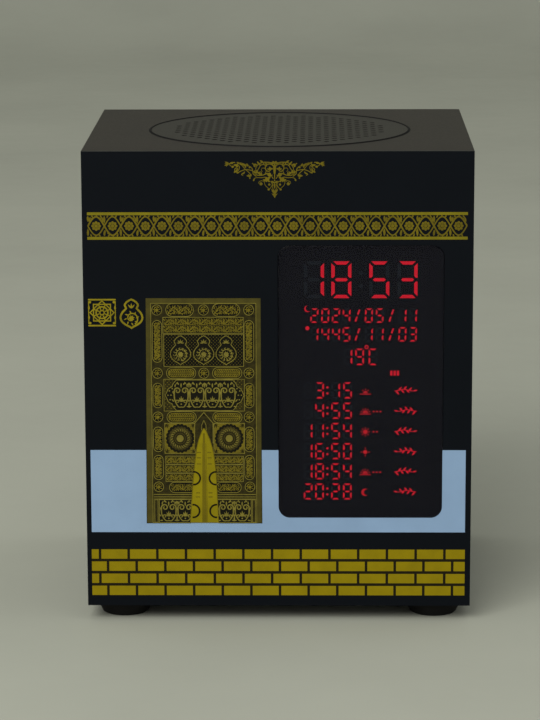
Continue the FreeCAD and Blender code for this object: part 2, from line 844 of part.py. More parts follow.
def corner_places(reach_across, reach_up):
    """Four places round the middle of the control plate."""
    return [(x, z) for x in (-reach_across, reach_across) for z in (EYE - reach_up, EYE + reach_up)]


def controls():
    plate_back = PANEL_BACK + s.control_plate_thick
    play = s.button_play
    half_w, half_h = s.plate_width / 2, s.plate_height / 2
    button_eye = EYE + s.row_rise
    socket_eye = EYE - s.row_rise
    openings = []
    for i in range(int(s.button_count.value)):
        middle = (i - (int(s.button_count.value) - 1) / 2) * s.button_pitch
        openings.append(button(f"button_{i + 1}", middle, button_eye, plate_back))
    openings.append(switch(socket_across(1), socket_eye, plate_back))
    inlet(socket_across(0), socket_eye, plate_back)
    card_socket(socket_across(2), socket_eye)
    jack(socket_across(3), socket_eye)
    plate_span = (PANEL_BACK, plate_back)
    half = (s.inlet_width / 2 + play, s.inlet_height / 2 + play)
    openings.append(opening("inlet_opening", socket_across(0), socket_eye, half, plate_span))
    half = (s.slot_width / 2 + play, s.slot_height / 2 + play)
    openings.append(opening("slot_opening", socket_across(2), socket_eye, half, plate_span))
    at = (socket_across(3), socket_eye)
    openings.append(prism("jack_opening", at, "y", plate_span, s.jack_bore_radius + 3 * play, s.cell_sides))
    setin = s.standoff_setin - s.screw_play
    places = corner_places(half_w - setin, half_h - setin)
    openings += [
        prism(f"plate_hole_{i}", at, "y", plate_span, s.screw_radius + s.screw_play)
        for i, at in enumerate(places)
    ]
    plate = block("control_plate_blank", (-half_w, half_w), plate_span, (EYE - half_h, EYE + half_h))
    keep("control_plate", cut("control_plate", plate, openings))
    reach = s.control_plate_thick + s.rear_thick / 2
    keep("plate_screws", group("plate_screws", [
        screw(f"plate_screw_{i}", at, "y", plate_back, -1, reach, s.plate_screw_head)
        for i, at in enumerate(places)
    ]))


def opening(name, across, up, half, span):
    """A rectangular hole around a place, by its half width and half height."""
    return block(name, (across - half[0], across + half[0]), span, (up - half[1], up + half[1]))


def button(label, across, up, plate_back):
    """A push button with a lip behind the plate and a plunger. Gives back its opening in the plate."""
    half = (s.button_width / 2, s.button_height / 2)
    lip = (half[0] + s.button_lip, half[1] + s.button_lip)
    lip_span = (PANEL_BACK - s.button_lip - s.button_play, PANEL_BACK - s.button_play)
    tip = BOARD_BACK + s.tact_height - s.button_travel * 2
    stem = (s.plunger_size / 2, s.plunger_size / 2)
    keep(label, fused(label, [
        opening(label + "_cap", across, up, half, (lip_span[1], plate_back + s.button_proud)),
        opening(label + "_lip", across, up, lip, lip_span),
        opening(label + "_plunger", across, up, stem, (tip, lip_span[0])),
    ]))
    hole = (half[0] + s.button_play, half[1] + s.button_play)
    return opening(label + "_opening", across, up, hole, (PANEL_BACK, plate_back))


def tact_switches():
    """The switches under the buttons, each a square body with a well for the plunger."""
    bodies = []
    play = s.button_play
    well = (s.plunger_size / 2 + play, s.plunger_size / 2 + play)
    half = (s.tact_size / 2, s.tact_size / 2)
    for i in range(int(s.button_count.value)):
        middle = (i - (int(s.button_count.value) - 1) / 2) * s.button_pitch
        up = EYE + s.row_rise
        top = BOARD_BACK + s.tact_height
        body = opening(f"tact_body_{i}", middle, up, half, (BOARD_BACK, top))
        hollow = opening(f"tact_well_{i}", middle, up, well, (top - s.button_travel * 4, top))
        bodies.append(cut(f"tact_switch_{i}", body, [hollow]))
    keep("tact_switches", group("tact_switches", bodies))


def switch(across, up, plate_back):
    """The slide switch and its knob, which rests at the left end. Gives back the knob's opening."""
    play = s.button_play
    top = BOARD_BACK + s.switch_depth
    floor = top - s.switch_groove
    half = ((s.knob_width + s.knob_travel) / 2 + play, s.knob_height / 2 + play)
    block_half = (s.switch_width / 2, s.switch_height / 2)
    body = opening("switch_block", across, up, block_half, (BOARD_BACK, top))
    groove = opening("switch_groove_hollow", across, up, half, (floor, top))
    keep("power_switch", cut("power_switch", body, [groove]))
    rest = across - s.knob_travel / 2
    span = (floor + play, plate_back + s.knob_proud)
    knob_half = (s.knob_width / 2, s.knob_height / 2)
    keep("power_switch_knob", opening("power_switch_knob", rest, up, knob_half, span))
    return opening("knob_opening", across, up, half, (PANEL_BACK, plate_back))


def inlet(across, up, plate_back):
    """The power inlet: a thin metal shell flush with the plate, with a tongue on its middle plane."""
    half = (s.inlet_width / 2, s.inlet_height / 2)
    inner = (half[0] - s.inlet_wall, half[1] - s.inlet_wall)
    floor = BOARD_BACK + s.jack_end_wall
    shell = opening("inlet_shell", across, up, half, (BOARD_BACK, plate_back))
    hollow = opening("inlet_hollow", across, up, inner, (floor, plate_back))
    tongue = (inner[0] - s.inlet_wall * 2, s.inlet_tongue / 2)
    reach = (floor, plate_back - s.inlet_wall * 2)
    keep("power_inlet", fused("power_inlet", [
        cut("inlet_can", shell, [hollow]),
        opening("inlet_tongue", across, up, tongue, reach),
    ]))


def card_socket(across, up):
    half = (s.slot_width / 2, s.slot_height / 2)
    outer = (half[0] + s.slot_wall, half[1] + s.slot_wall)
    body = opening("card_socket_block", across, up, outer, (BOARD_BACK, PANEL_BACK))
    hollow = opening("card_slot", across, up, half, (BOARD_BACK + s.jack_end_wall, PANEL_BACK))
    keep("card_socket", cut("card_socket", body, [hollow]))


def jack(across, up):
    half = (s.jack_size / 2, s.jack_size / 2)
    body = opening("jack_block", across, up, half, (BOARD_BACK, PANEL_BACK))
    span = (BOARD_BACK + s.jack_end_wall, PANEL_BACK)
    bore = rod("jack_bore", (across, up), "y", span, s.jack_bore_radius)
    keep("audio_jack", cut("audio_jack", body, [bore]))


# electronics: the main board on its standoffs, what it carries, and the leads from it
def electronics():
    half_w, half_h = s.main_board_width / 2, s.main_board_height / 2
    places = corner_places(half_w - s.standoff_setin, half_h - s.standoff_setin)
    holes = [
        prism(f"board_hole_{i}", at, "y", (BOARD_FRONT, BOARD_BACK), s.screw_radius + s.screw_play)
        for i, at in enumerate(places)
    ]
    span = (BOARD_FRONT, BOARD_BACK)
    board = block("main_board_plate", (-half_w, half_w), span, (EYE - half_h, EYE + half_h))
    keep("main_board", cut("main_board", board, holes))
    keep("board_standoffs", group("board_standoffs", [
        prism(f"standoff_{i}", at, "y", (BOARD_BACK, PANEL_FRONT), s.standoff_radius)
        for i, at in enumerate(places)
    ]))
    keep("board_screws", group("board_screws", [
        screw(f"board_screw_{i}", at, "y", BOARD_FRONT, 1, s.pcb_thick + s.standoff_length / 2)
        for i, at in enumerate(places)
    ]))

    depth = s.cell_thick + s.holder_wall
    square = (s.cell_radius + s.holder_wall, s.cell_radius + s.holder_wall)
    holder = opening("cell_holder_block", s.cell_across, EYE, square, (BOARD_FRONT - depth, BOARD_FRONT))
    span = (BOARD_FRONT - depth, BOARD_FRONT - s.holder_wall)
    place = (s.cell_across, EYE)
    pocket = prism("cell_pocket", place, "y", span, s.cell_radius + s.screw_play, s.cell_sides)
    keep("coin_cell_holder", cut("coin_cell_holder", holder, [pocket]))
    keep("coin_cell", prism("coin_cell", place, "y", span, s.cell_radius, s.cell_sides))

    chip_span = (BOARD_FRONT - s.chip_thick, BOARD_FRONT)
    chip_sizes = {"clock_chip": (-6, 8, 5, 4), "amplifier_chip": (-6, -8, 3, 3), "voice_chip": (8, -1, 4, 3)}
    keep("chips", group("chips", [
        opening(name, across, EYE + up, (as_size(wide), as_size(tall)), chip_span)
        for name, (across, up, wide, tall) in chip_sizes.items()
    ]))
    span = (BOARD_FRONT - s.capacitor_length, BOARD_FRONT)
    radius = s.capacitor_radius
    low = EYE - half_h + radius * 1.5
    keep("capacitors", group("capacitors", [
        prism(f"capacitor_{i}", (radius * across, low), "y", span, radius, s.cell_sides / 2)
        for i, across in enumerate((-3, -0.5))
    ]))


def strip(label, across, width, places, shift):
    """A flat lead in an upright plane from front to back: its lower line, and the same line shifted."""
    places = [(as_size(back), as_size(up)) for back, up in places]
    other = [(back + shift[0], up + shift[1]) for back, up in reversed(places)]
    body = doc.addObject("PartDesign::Body", label)
    sketch = outline(body, label + "_outline", "YZ_Plane", places + other, across)
    pad = body.newObject("PartDesign::Pad", label + "_pad")
    pad.Profile = sketch
    bind(pad, "Length", width)
    doc.recompute()
    return keep(label, body)


def leads():
    """Connectors on both boards and the three leads that end in them."""
    half_h = s.main_board_height / 2
    depth = (BOARD_FRONT - s.connector_depth, BOARD_FRONT)
    tall = s.connector_height
    ribbon = (s.ribbon_across, s.ribbon_across + s.ribbon_width)
    lead = (s.lead_across - s.ribbon_thick, s.lead_across + s.lead_width + s.ribbon_thick)
    probe = (s.probe_across - s.lead_width, s.probe_across + s.lead_width)
    speaker_top = EYE + half_h - s.standoff_setin
    probe_low = EYE - half_h + s.pcb_thick
    far = LED_BACK + s.connector_depth
    keep("connectors", group("connectors", [
        block("ribbon_socket", ribbon, depth, (EYE - tall / 2, EYE + tall / 2)),
        block("speaker_socket", lead, depth, (speaker_top - tall, speaker_top)),
        block("probe_socket", probe, depth, (probe_low, probe_low + tall)),
        block("display_socket", ribbon, (LED_BACK, far), (EYE + tall, EYE + 2 * tall)),
    ]))
    rise = EYE + 1.5 * tall
    strip("display_ribbon", s.ribbon_across, s.ribbon_width, [
        (far, rise),
        (far + s.ribbon_width / 2, rise),
        (far + s.ribbon_width * 1.5, EYE - tall),
        (depth[0] - s.ribbon_width * 1.5, EYE - tall),
        (depth[0] - s.ribbon_width / 2, EYE),
        (depth[0], EYE),
    ], (0, s.ribbon_thick))
    tag_low = INNER_TOP - s.gasket_thick - s.basket_drop - s.basket_wall
    lead_back = depth[0] + s.lead_thick
    lead_front = s.basket_base_radius + s.lead_width
    strip("speaker_lead", s.lead_across, s.lead_width, [
        (lead_back, speaker_top),
        (lead_back, speaker_top + s.ribbon_width),
        (lead_front, tag_low - s.ribbon_width),
        (lead_front, tag_low),
    ], (s.lead_thick, 0))
    probe_back = FRONT + s.probe_setin
    probe_top = LOW - s.probe_hang + s.probe_length
    strip("probe_lead", s.probe_across - s.lead_thick / 2, s.lead_thick, [
        (probe_back - s.probe_radius, probe_top),
        (probe_back + s.connector_depth, probe_top),
        (probe_back + s.connector_depth * 3, INNER_LOW + s.lead_thick),
        (depth[0] - s.connector_depth * 4, INNER_LOW + s.lead_thick),
        (depth[0] - s.connector_depth, probe_low + s.lead_thick),
        (depth[0], probe_low + s.lead_thick),
    ], (0, s.lead_thick))


def small_sensors():
    """The remote receiver behind the window and the temperature probe through the bottom board."""
    half = (s.receiver_size / 2, s.receiver_size / 2)
    span = (LED_FRONT - s.receiver_depth, LED_FRONT)
    across = WINDOW_RIGHT - s.receiver_setin
    keep("ir_receiver", opening("ir_receiver", across, WINDOW_EYE + s.temp_rise, half, span))
    centre = (s.probe_across, FRONT + s.probe_setin)
    tip = LOW - s.probe_hang
    span = (tip, tip + s.probe_length)
    probe = prism("temperature_probe", centre, "z", span, s.probe_radius, s.cell_sides / 2)
    keep("temperature_probe", probe)


def feet():
    """Four tapered round feet."""
    side, end = SIDE - s.foot_setin_x, REAR - s.foot_setin_y
    places = [(across, back) for across in (-side, side) for back in (-end, end)]
    corners = [(0, 0), (s.foot_tip_radius, 0), (s.foot_top_radius, s.foot_height), (0, s.foot_height)]
    keep("feet", group("feet", [
        many_sided(f"foot_{i}", corners, s.foot_sides, place) for i, place in enumerate(places)
    ]))


def check_and_write():
    """Every object has to be sound before any file is written."""
    doc.recompute()
    for item in doc.Objects:
        if "Invalid" in item.State or "Error" in item.State:
            raise RuntimeError(f"{item.Name} failed: {item.State}")
    for label, node in nodes.items():
        if node.Shape.isNull() or not node.Shape.isValid():
            raise RuntimeError(f"{label} has no valid shape")
    os.makedirs("parts", exist_ok=True)
    for label, node in nodes.items():
        node.Shape.exportStep(f"parts/{label}.step")


cabinet()
front()
display()
grille()
speaker()
controls()
tact_switches()
electronics()
leads()
small_sensors()
feet()
check_and_write()
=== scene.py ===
import math
import random

import bmesh
import bpy
from mathutils import Matrix, Vector
from mathutils.geometry import delaunay_2d_cdt


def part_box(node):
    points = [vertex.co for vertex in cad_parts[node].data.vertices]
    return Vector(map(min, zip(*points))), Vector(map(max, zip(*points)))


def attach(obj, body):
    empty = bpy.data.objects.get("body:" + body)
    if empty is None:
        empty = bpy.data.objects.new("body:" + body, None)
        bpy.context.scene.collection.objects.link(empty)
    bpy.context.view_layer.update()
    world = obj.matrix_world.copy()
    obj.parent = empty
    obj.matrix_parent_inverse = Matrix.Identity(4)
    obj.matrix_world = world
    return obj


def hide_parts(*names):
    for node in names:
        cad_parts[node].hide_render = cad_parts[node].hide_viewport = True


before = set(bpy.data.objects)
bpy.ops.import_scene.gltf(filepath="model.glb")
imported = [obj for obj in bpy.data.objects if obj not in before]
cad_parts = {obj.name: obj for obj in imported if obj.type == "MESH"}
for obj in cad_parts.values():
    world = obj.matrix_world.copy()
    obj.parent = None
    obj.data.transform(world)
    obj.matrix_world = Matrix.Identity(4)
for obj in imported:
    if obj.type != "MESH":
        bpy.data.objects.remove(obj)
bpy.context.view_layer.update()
MM = 0.001
random.seed(7)

# Places read from the frame, in metres.
SHEET_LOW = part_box("front_sheet")[0]
FACE_Y = SHEET_LOW[1]
FOOT_H = SHEET_LOW[2]
LENS_LOW, LENS_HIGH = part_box("display_window")
FILM_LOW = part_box("display_diffuser")[0]
GRILLE_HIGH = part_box("speaker_grille")[1]
PANEL_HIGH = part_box("rear_panel")[1]
PLATE_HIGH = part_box("control_plate")[1]


def linear(colour):
    """sRGB to linear, with full alpha."""
    return tuple(c / 12.92 if c <= 0.04045 else ((c + 0.055) / 1.055) ** 2.4 for c in colour) + (1.0,)


def cos_sin(degrees):
    return math.cos(math.radians(degrees)), math.sin(math.radians(degrees))


# Materials
def new_material(name, colour, roughness=0.5, metallic=0.0, **sockets):
    material = bpy.data.materials.new(name)
    material.use_nodes = True
    shader = material.node_tree.nodes["Principled BSDF"]
    shader.inputs["Base Color"].default_value = linear(colour)
    shader.inputs["Roughness"].default_value = roughness
    shader.inputs["Metallic"].default_value = metallic
    for socket, value in sockets.items():
        shader.inputs[socket.replace("_", " ")].default_value = value
    return material


def coordinates(material, scale=(1, 1, 1)):
    nodes, links = material.node_tree.nodes, material.node_tree.links
    place = nodes.new("ShaderNodeTexCoord")
    mapping = nodes.new("ShaderNodeMapping")
    mapping.inputs["Scale"].default_value = scale
    links.new(place.outputs["Object"], mapping.inputs["Vector"])
    return mapping.outputs["Vector"]


def noise(material, scale, detail=4.0, stretch=(1, 1, 1)):
    node = material.node_tree.nodes.new("ShaderNodeTexNoise")
    node.inputs["Scale"].default_value = scale
    node.inputs["Detail"].default_value = detail
    material.node_tree.links.new(coordinates(material, stretch), node.inputs["Vector"])
    return node.outputs["Fac"]


def ramp(material, factor, stops):
    """A colour ramp of (position, colour) stops."""
    node = material.node_tree.nodes.new("ShaderNodeValToRGB")
    elements = node.color_ramp.elements
    while len(elements) < len(stops):
        elements.new(0.5)
    for element, (position, colour) in zip(elements, stops):
        element.position = position
        element.color = linear(colour)
    material.node_tree.links.new(factor, node.inputs["Fac"])
    return node.outputs["Color"]


def spread(material, factor, low, high):
    """A factor of 0 to 1 brought between two values."""
    node = material.node_tree.nodes.new("ShaderNodeMapRange")
    node.inputs["To Min"].default_value = low
    node.inputs["To Max"].default_value = high
    material.node_tree.links.new(factor, node.inputs["Value"])
    return node.outputs["Result"]


def bump(material, height, strength, distance):
    node = material.node_tree.nodes.new("ShaderNodeBump")
    node.inputs["Strength"].default_value = strength
    node.inputs["Distance"].default_value = distance
    material.node_tree.links.new(height, node.inputs["Height"])
    set_input(material, "Normal", node.outputs["Normal"])


def set_input(material, socket, output):
    shader = material.node_tree.nodes["Principled BSDF"]
    material.node_tree.links.new(output, shader.inputs[socket])


def mottled(name, colour, roughness, amount=0.08, scale=900.0, grain=0.00002, metallic=0.0, stretch=(1, 1, 1),
            gloss=0.5):
    """A moulded, painted or wrapped surface: faint tone changes, uneven gloss and a fine grain."""
    material = new_material(name, colour, roughness, metallic, Specular_IOR_Level=gloss)
    tone = noise(material, scale * 0.1, 5.0, stretch)
    darker = tuple(c * (1 - amount) for c in colour)
    lighter = tuple(min(c * (1 + amount), 1.0) for c in colour)
    set_input(material, "Base Color", ramp(material, tone, [(0.3, darker), (0.7, lighter)]))
    fine = noise(material, scale, 3.0, stretch)
    set_input(material, "Roughness", spread(material, fine, roughness * 0.85, min(roughness * 1.15, 1.0)))
    if grain:
        bump(material, fine, 0.6, grain)
    return material


def printed(name, colour, roughness=0.45, amount=0.10, scale=1800.0, gloss=0.12):
    """A flat printed colour, without grain."""
    return mottled(name, colour, roughness, amount, scale, 0, gloss=gloss)


def glowing(name, colour, strength):
    material = new_material(name, tuple(c * 0.6 for c in colour), 0.4)
    shader = material.node_tree.nodes["Principled BSDF"]
    shader.inputs["Emission Color"].default_value = linear(colour)
    shader.inputs["Emission Strength"].default_value = strength
    return material


wrap = mottled("board_wrap", (0.133, 0.117, 0.095), 0.55, 0.08, 1500.0, 0.00003, gloss=0.25)
raw_board = mottled("fibre_board", (0.47, 0.37, 0.27), 0.85, 0.14, 1200.0, 0.00006)
sheet_black = mottled("sheet_black", (0.036, 0.049, 0.067), 0.34, 0.04, 600.0, 0, gloss=0.07)
gold_ink = printed("gold_ink", (0.378, 0.334, 0.045))
motif_ink = printed("motif_ink", (0.490, 0.440, 0.060))
band_ink = printed("band_ink", (0.445, 0.408, 0.055), 0.45, 0.06)
brick_ink = printed("brick_ink", (0.510, 0.445, 0.000), 0.45, 0.04, 1500.0)
joint_ink = printed("joint_ink", (0.095, 0.080, 0.020), 0.50, 0.10, 1500.0, 0.1)
border_ink = printed("border_ink", (0.262, 0.238, 0.075), 0.50, 0.10, 2400.0)
curtain_ink = printed("curtain_ink", (0.155, 0.137, 0.036), 0.55, 0.3, 9000.0, 0.1)
curtain_dark = printed("curtain_dark", (0.040, 0.035, 0.010), 0.55, 0.3, 9000.0, 0.1)
work_ink = printed("work_ink", (0.385, 0.342, 0.070), 0.50, 0.12, 6000.0)
line_ink = printed("line_ink", (0.430, 0.395, 0.150), 0.45, 0.10, 2400.0)
rib_ink = printed("rib_ink", (0.385, 0.340, 0.020), 0.50, 0.08)
pale_ink = printed("pale_ink", (0.505, 0.605, 0.710), 0.38, 0.02, 700.0, 0.2)
handle_ink = printed("handle_ink", (0.085, 0.070, 0.004), 0.50, 0.10, 2400.0, 0.1)
black_ink = printed("black_ink", (0.062, 0.056, 0.018), 0.50, 0.10, 2400.0, 0.1)
bronze_ink = printed("bronze_ink", (0.205, 0.180, 0.045), 0.50, 0.12, 6000.0)
door_gold = printed("door_gold", (0.505, 0.455, 0.020), 0.42, 0.07, 1200.0)
grille_paint = mottled("grille_paint", (0.098, 0.084, 0.070), 0.45, 0.05, 2600.0, 0.00002, 0.2, gloss=0.3)
moulded_black = mottled("moulded_black", (0.085, 0.085, 0.090), 0.55, 0.08, 2200.0, 0.00003, gloss=0.3)
key_grey = mottled("key_grey", (0.34, 0.34, 0.35), 0.5, 0.05, 2200.0, 0.00002)
# Painted shade: a near-black finish that stands in for the shadow in the gap round the grille's rim.
painted_gap_shade = mottled("painted_gap_shade", (0.036, 0.032, 0.029), 0.70, 0.05, 2200.0, 0.00002, gloss=0.15)
rubber = mottled("foot_rubber", (0.072, 0.068, 0.066), 0.80, 0.12, 1500.0, 0.00004, gloss=0.15)
plated = mottled("plated_steel", (0.66, 0.66, 0.67), 0.28, 0.05, 900.0, 0.00001, 1.0, (1, 1, 0.05))
dark_screw = mottled("dark_screw", (0.16, 0.16, 0.165), 0.32, 0.08, 900.0, 0.00001, 0.9)
brass = mottled("brass_contact", (0.72, 0.56, 0.28), 0.3, 0.08, 900.0, 0.00001, 1.0)
ferrite = mottled("ferrite", (0.16, 0.16, 0.17), 0.6, 0.12, 800.0, 0.00005)
paper = mottled("cone_paper", (0.12, 0.12, 0.125), 0.85, 0.12, 1400.0, 0.00008, gloss=0.2)
foam = mottled("foam", (0.10, 0.10, 0.10), 0.9, 0.10, 2200.0, 0.0001, gloss=0.2)
cloth = mottled("spider_cloth", (0.62, 0.44, 0.20), 0.85, 0.14, 1600.0, 0.0001)
copper = mottled("copper_wire", (0.62, 0.33, 0.18), 0.35, 0.10, 2000.0, 0.00004, 0.9, (0.05, 0.05, 1))
board_green = mottled("solder_mask", (0.07, 0.30, 0.15), 0.35, 0.12, 500.0, 0.00001)
cable = mottled("cable_skin", (0.74, 0.73, 0.70), 0.5, 0.04, 900.0, 0.00001)
mask_black = mottled("mask_black", (0.035, 0.035, 0.038), 0.7, 0.05, 1200.0, 0.00002, gloss=0.2)
film_dark = mottled("film_dark", (0.042, 0.042, 0.049), 0.60, 0.03, 900.0, 0, gloss=0.05)
lit = glowing("digit_red", (1.0, 0.015, 0.165), 0.78)
lit_dim = glowing("icon_red", (0.95, 0.02, 0.13), 0.66)
floor_paint = mottled("floor_paint", (0.625, 0.630, 0.572), 0.7, 0.02, 60.0, 0.00002, gloss=0.2)
unlit = mottled("unlit_segment", (0.140, 0.168, 0.185), 0.5, 0.04, 900.0, 0, gloss=0.05)

smoked = new_material("smoked_lens", (0.086, 0.086, 0.116), 0.30, Alpha=0.30, Specular_IOR_Level=0.18)
scuffs = noise(smoked, 300.0, 3.0)
set_input(smoked, "Roughness", spread(smoked, scuffs, 0.28, 0.33))

CAD_FINISH = (
    (wrap, "top_board bottom_board left_side_board right_side_board"),
    (raw_board, "front_baffle corner_blocks"),
    (sheet_black, "front_sheet"),
    (mask_black, "display_mask ir_receiver"),
    (film_dark, "display_diffuser"),
    (board_green, "led_board main_board speaker_terminals"),
    (lit, "big_digit_leds"),
    (foam, "speaker_gasket speaker_surround"),
    (paper, "speaker_cone dust_cap"),
    (grille_paint, "speaker_basket"),
    (plated, "speaker_top_plate speaker_yoke power_switch card_socket power_inlet coin_cell "
             "capacitors temperature_probe display_screws board_screws"),
    (ferrite, "speaker_magnet"),
    (cloth, "speaker_spider"),
    (copper, "voice_coil"),
    (brass, "board_standoffs"),
    (moulded_black, "tact_switches audio_jack coin_cell_holder chips rear_panel control_plate"),
    (cable, "connectors display_ribbon speaker_lead probe_lead"),
    (dark_screw, "speaker_screws"),
)
for finish, node_names in CAD_FINISH:
    for node_name in node_names.split():
        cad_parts[node_name].data.materials.clear()
        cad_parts[node_name].data.materials.append(finish)


# Building pieces
def piece(name, mesh_or_bm, material, body, smooth=False):
    """A new object from a mesh, riding on a body."""
    if isinstance(mesh_or_bm, bmesh.types.BMesh):
        mesh = bpy.data.meshes.new(name)
        mesh_or_bm.to_mesh(mesh)
        mesh_or_bm.free()
    else:
        mesh = mesh_or_bm
    thing = bpy.data.objects.new(name, mesh)
    bpy.context.scene.collection.objects.link(thing)
    mesh.materials.append(material)
    if smooth:
        mesh.polygons.foreach_set("use_smooth", [True] * len(mesh.polygons))
    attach(thing, body)
    return thing


def apply_modifiers(thing):
    graph = bpy.context.evaluated_depsgraph_get()
    mesh = bpy.data.meshes.new_from_object(thing.evaluated_get(graph))
    thing.modifiers.clear()
    thing.data = mesh


def bevelled(thing, width, segments=2, angle=40):
    modifier = thing.modifiers.new("edges", "BEVEL")
    modifier.width = width
    modifier.segments = segments
    modifier.limit_method = "ANGLE"
    modifier.angle_limit = math.radians(angle)
    modifier.harden_normals = False
    apply_modifiers(thing)


class Print:
    """Ink on an upright plane, in millimetres from the centre line and from the cabinet's bottom."""

    LEVELS = 40
    STEP = 0.0005

    def __init__(self, plane_y, lift):
        self.bm = bmesh.new()
        self.plane = plane_y
        self.lift = lift
        self.count = 0

    def corner(self, x, z, level):
        back = self.plane / MM - self.lift - level * self.STEP
        return self.bm.verts.new((x * MM, back * MM, (z + FOOT_H / MM) * MM))

    def fill(self, points):
        level = self.count % self.LEVELS
        self.count += 1
        self.bm.faces.new([self.corner(x, z, level) for x, z in points])

    def strip(self, left, right):
        """A ribbon between two lines of as many points."""
        level = self.count % self.LEVELS
        self.count += 1
        a = [self.corner(x, z, level) for x, z in left]
        b = [self.corner(x, z, level) for x, z in right]
        for i in range(len(a) - 1):
            self.bm.faces.new((a[i], a[i + 1], b[i + 1], b[i]))

    def line(self, points, width, end=None, closed=False):
        """A stroke along points, its width running from one value to the other."""
        end = width if end is None else end
        if closed:
            points = list(points) + [points[0]]
        count = len(points)
        left, right = [], []
        for i, (x, z) in enumerate(points):
            if closed and i in (0, count - 1):
                before, after = points[-2], points[1]
            else:
                before, after = points[max(i - 1, 0)], points[min(i + 1, count - 1)]
            dx, dz = after[0] - before[0], after[1] - before[1]
            size = math.hypot(dx, dz) or 1.0
            half = (width + (end - width) * i / (count - 1)) / 2
            left.append((x - dz / size * half, z + dx / size * half))
            right.append((x + dz / size * half, z - dx / size * half))
        self.strip(left, right)

    def box(self, x0, z0, x1, z1):
        self.fill([(x0, z0), (x1, z0), (x1, z1), (x0, z1)])

    def frame(self, x0, z0, x1, z1, width):
        """A rectangular border whose outside is the given box."""
        self.box(x0, z0, x1, z0 + width)
        self.box(x0, z1 - width, x1, z1)
        self.box(x0, z0 + width, x0 + width, z1 - width)
        self.box(x1 - width, z0 + width, x1, z1 - width)

    def disc(self, x, z, radius, sides=20):
        self.fill(around(x, z, radius, sides))

    def ring(self, x, z, radius, width, sides=28):
        self.line(around(x, z, radius - width / 2, sides), width, closed=True)

    def leaf(self, x, z, turn, length, width, sides=7):
        """A pointed leaf from its stalk, leaning to a direction in degrees."""
        c, s = cos_sin(turn)
        edge = [(length * i / sides,
                 width / 2 * math.sin(math.pi * (i / sides) ** 0.8)) for i in range(sides + 1)]
        outline = edge + [(along, -across) for along, across in reversed(edge[1:-1])]
        self.fill([(x + along * c - across * s, z + along * s + across * c) for along, across in outline])

    def finish(self, name, material, slot="printed_sheet", depth=0.02, body="cabinet"):
        thing = piece(name, self.bm, material, body)
        modifier = thing.modifiers.new("depth", "SOLIDIFY")
        modifier.thickness = depth * MM
        modifier.offset = 0.0
        apply_modifiers(thing)
        return thing


def around(x, z, radius, sides=24, start=0.0, end=360.0):
    """Points round a centre; a full turn leaves out the repeated last point."""
    full = abs(end - start) >= 360
    steps = sides if full else sides + 1
    points = []
    for i in range(steps):
        angle = math.radians(start + (end - start) * i / sides)
        points.append((x + radius * math.cos(angle), z + radius * math.sin(angle)))
    return points


def curl(x, z, radius, inner, start, end, steps=22):
    """A spiral whose radius goes from one value to the other."""
    points = []
    for i in range(steps + 1):
        part = i / steps
        angle = math.radians(start + (end - start) * part)
        reach = radius + (inner - radius) * part
        points.append((x + reach * math.cos(angle), z + reach * math.sin(angle)))
    return points


def curve(points, steps=10):
    """A smooth line through points."""
    line = []
    for i in range(len(points) - 1):
        p0, p1 = points[max(i - 1, 0)], points[i]
        p2, p3 = points[i + 1], points[min(i + 2, len(points) - 1)]
        for k in range(steps):
            u = k / steps
            line.append(tuple(
                0.5 * (2 * b + (c - a) * u + (2 * a - 5 * b + 4 * c - d) * u * u
                       + (3 * b - a - 3 * c + d) * u ** 3)
                for a, b, c, d in zip(p0, p1, p2, p3)
            ))
    line.append(points[-1])
    return line


def lathe(name, profile, centre, sides, material, body):
    """A smooth turned piece from radii and heights in metres; a radius of 0 closes the end."""
    bm = bmesh.new()
    rings = []
    for radius, up in profile:
        if radius == 0:
            rings.append([bm.verts.new((*centre, up))])
            continue
        rings.append([
            bm.verts.new((centre[0] + radius * math.cos(2 * math.pi * i / sides),
                          centre[1] + radius * math.sin(2 * math.pi * i / sides), up))
            for i in range(sides)
        ])
    for low, high in zip(rings, rings[1:]):
        for i in range(sides):
            after = (i + 1) % sides
            corners = [low[i % len(low)], low[after % len(low)], high[after % len(high)], high[i % len(high)]]
            unique = list(dict.fromkeys(corners))
            if len(unique) > 2:
                bm.faces.new(unique)
    bmesh.ops.recalc_face_normals(bm, faces=bm.faces)
    return piece(name, bm, material, body, smooth=True)


def bridge(bm, a, b):
    """Faces between two rings of as many points."""
    for i in range(len(a)):
        after = (i + 1) % len(a)
        bm.faces.new((a[i], a[after], b[after], b[i]))


def rounded(x0, z0, x1, z1, corner, steps):
    """The outline of a box with round corners."""
    outline = []
    for x, z, start in ((x1 - corner, z1 - corner, 0), (x0 + corner, z1 - corner, 90),
                        (x0 + corner, z0 + corner, 180), (x1 - corner, z0 + corner, 270)):
        outline += around(x, z, corner, steps, start, start + 90)
    return outline


# Printed front: layers of ink, each a thin sheet just in front of the one below
def window_edge_fill(layer, low, corner):
    """A pale band's part round the window's lower corners, where the band runs on to the window's edge."""
    x0, x1 = LENS_LOW[0] / MM, LENS_HIGH[0] / MM
    z0 = (LENS_LOW[2] - FOOT_H) / MM
    layer.box(WHITE_LEFT, low, x0, WHITE_TOP)
    layer.box(x1, low, WHITE_RIGHT, WHITE_TOP)
    layer.box(x0, low, x1, z0)
    for edge, way in ((x0, 1), (x1, -1)):
        turns = (180, 270) if way > 0 else (360, 270)
        arc = around(edge + way * corner, z0 + corner, corner, 12, *turns)
        for first, second in zip(arc, arc[1:]):
            layer.fill([(edge, z0), first, second])


WHITE_LEFT, WHITE_RIGHT, WHITE_LOW, WHITE_TOP = -71.15, 70.85, 29.0, 61.15
WINDOW_CORNER = 4.35

white = Print(FACE_Y, 0.03)
window_edge_fill(white, WHITE_LOW, WINDOW_CORNER)
white.finish("print_pale_band", pale_ink)


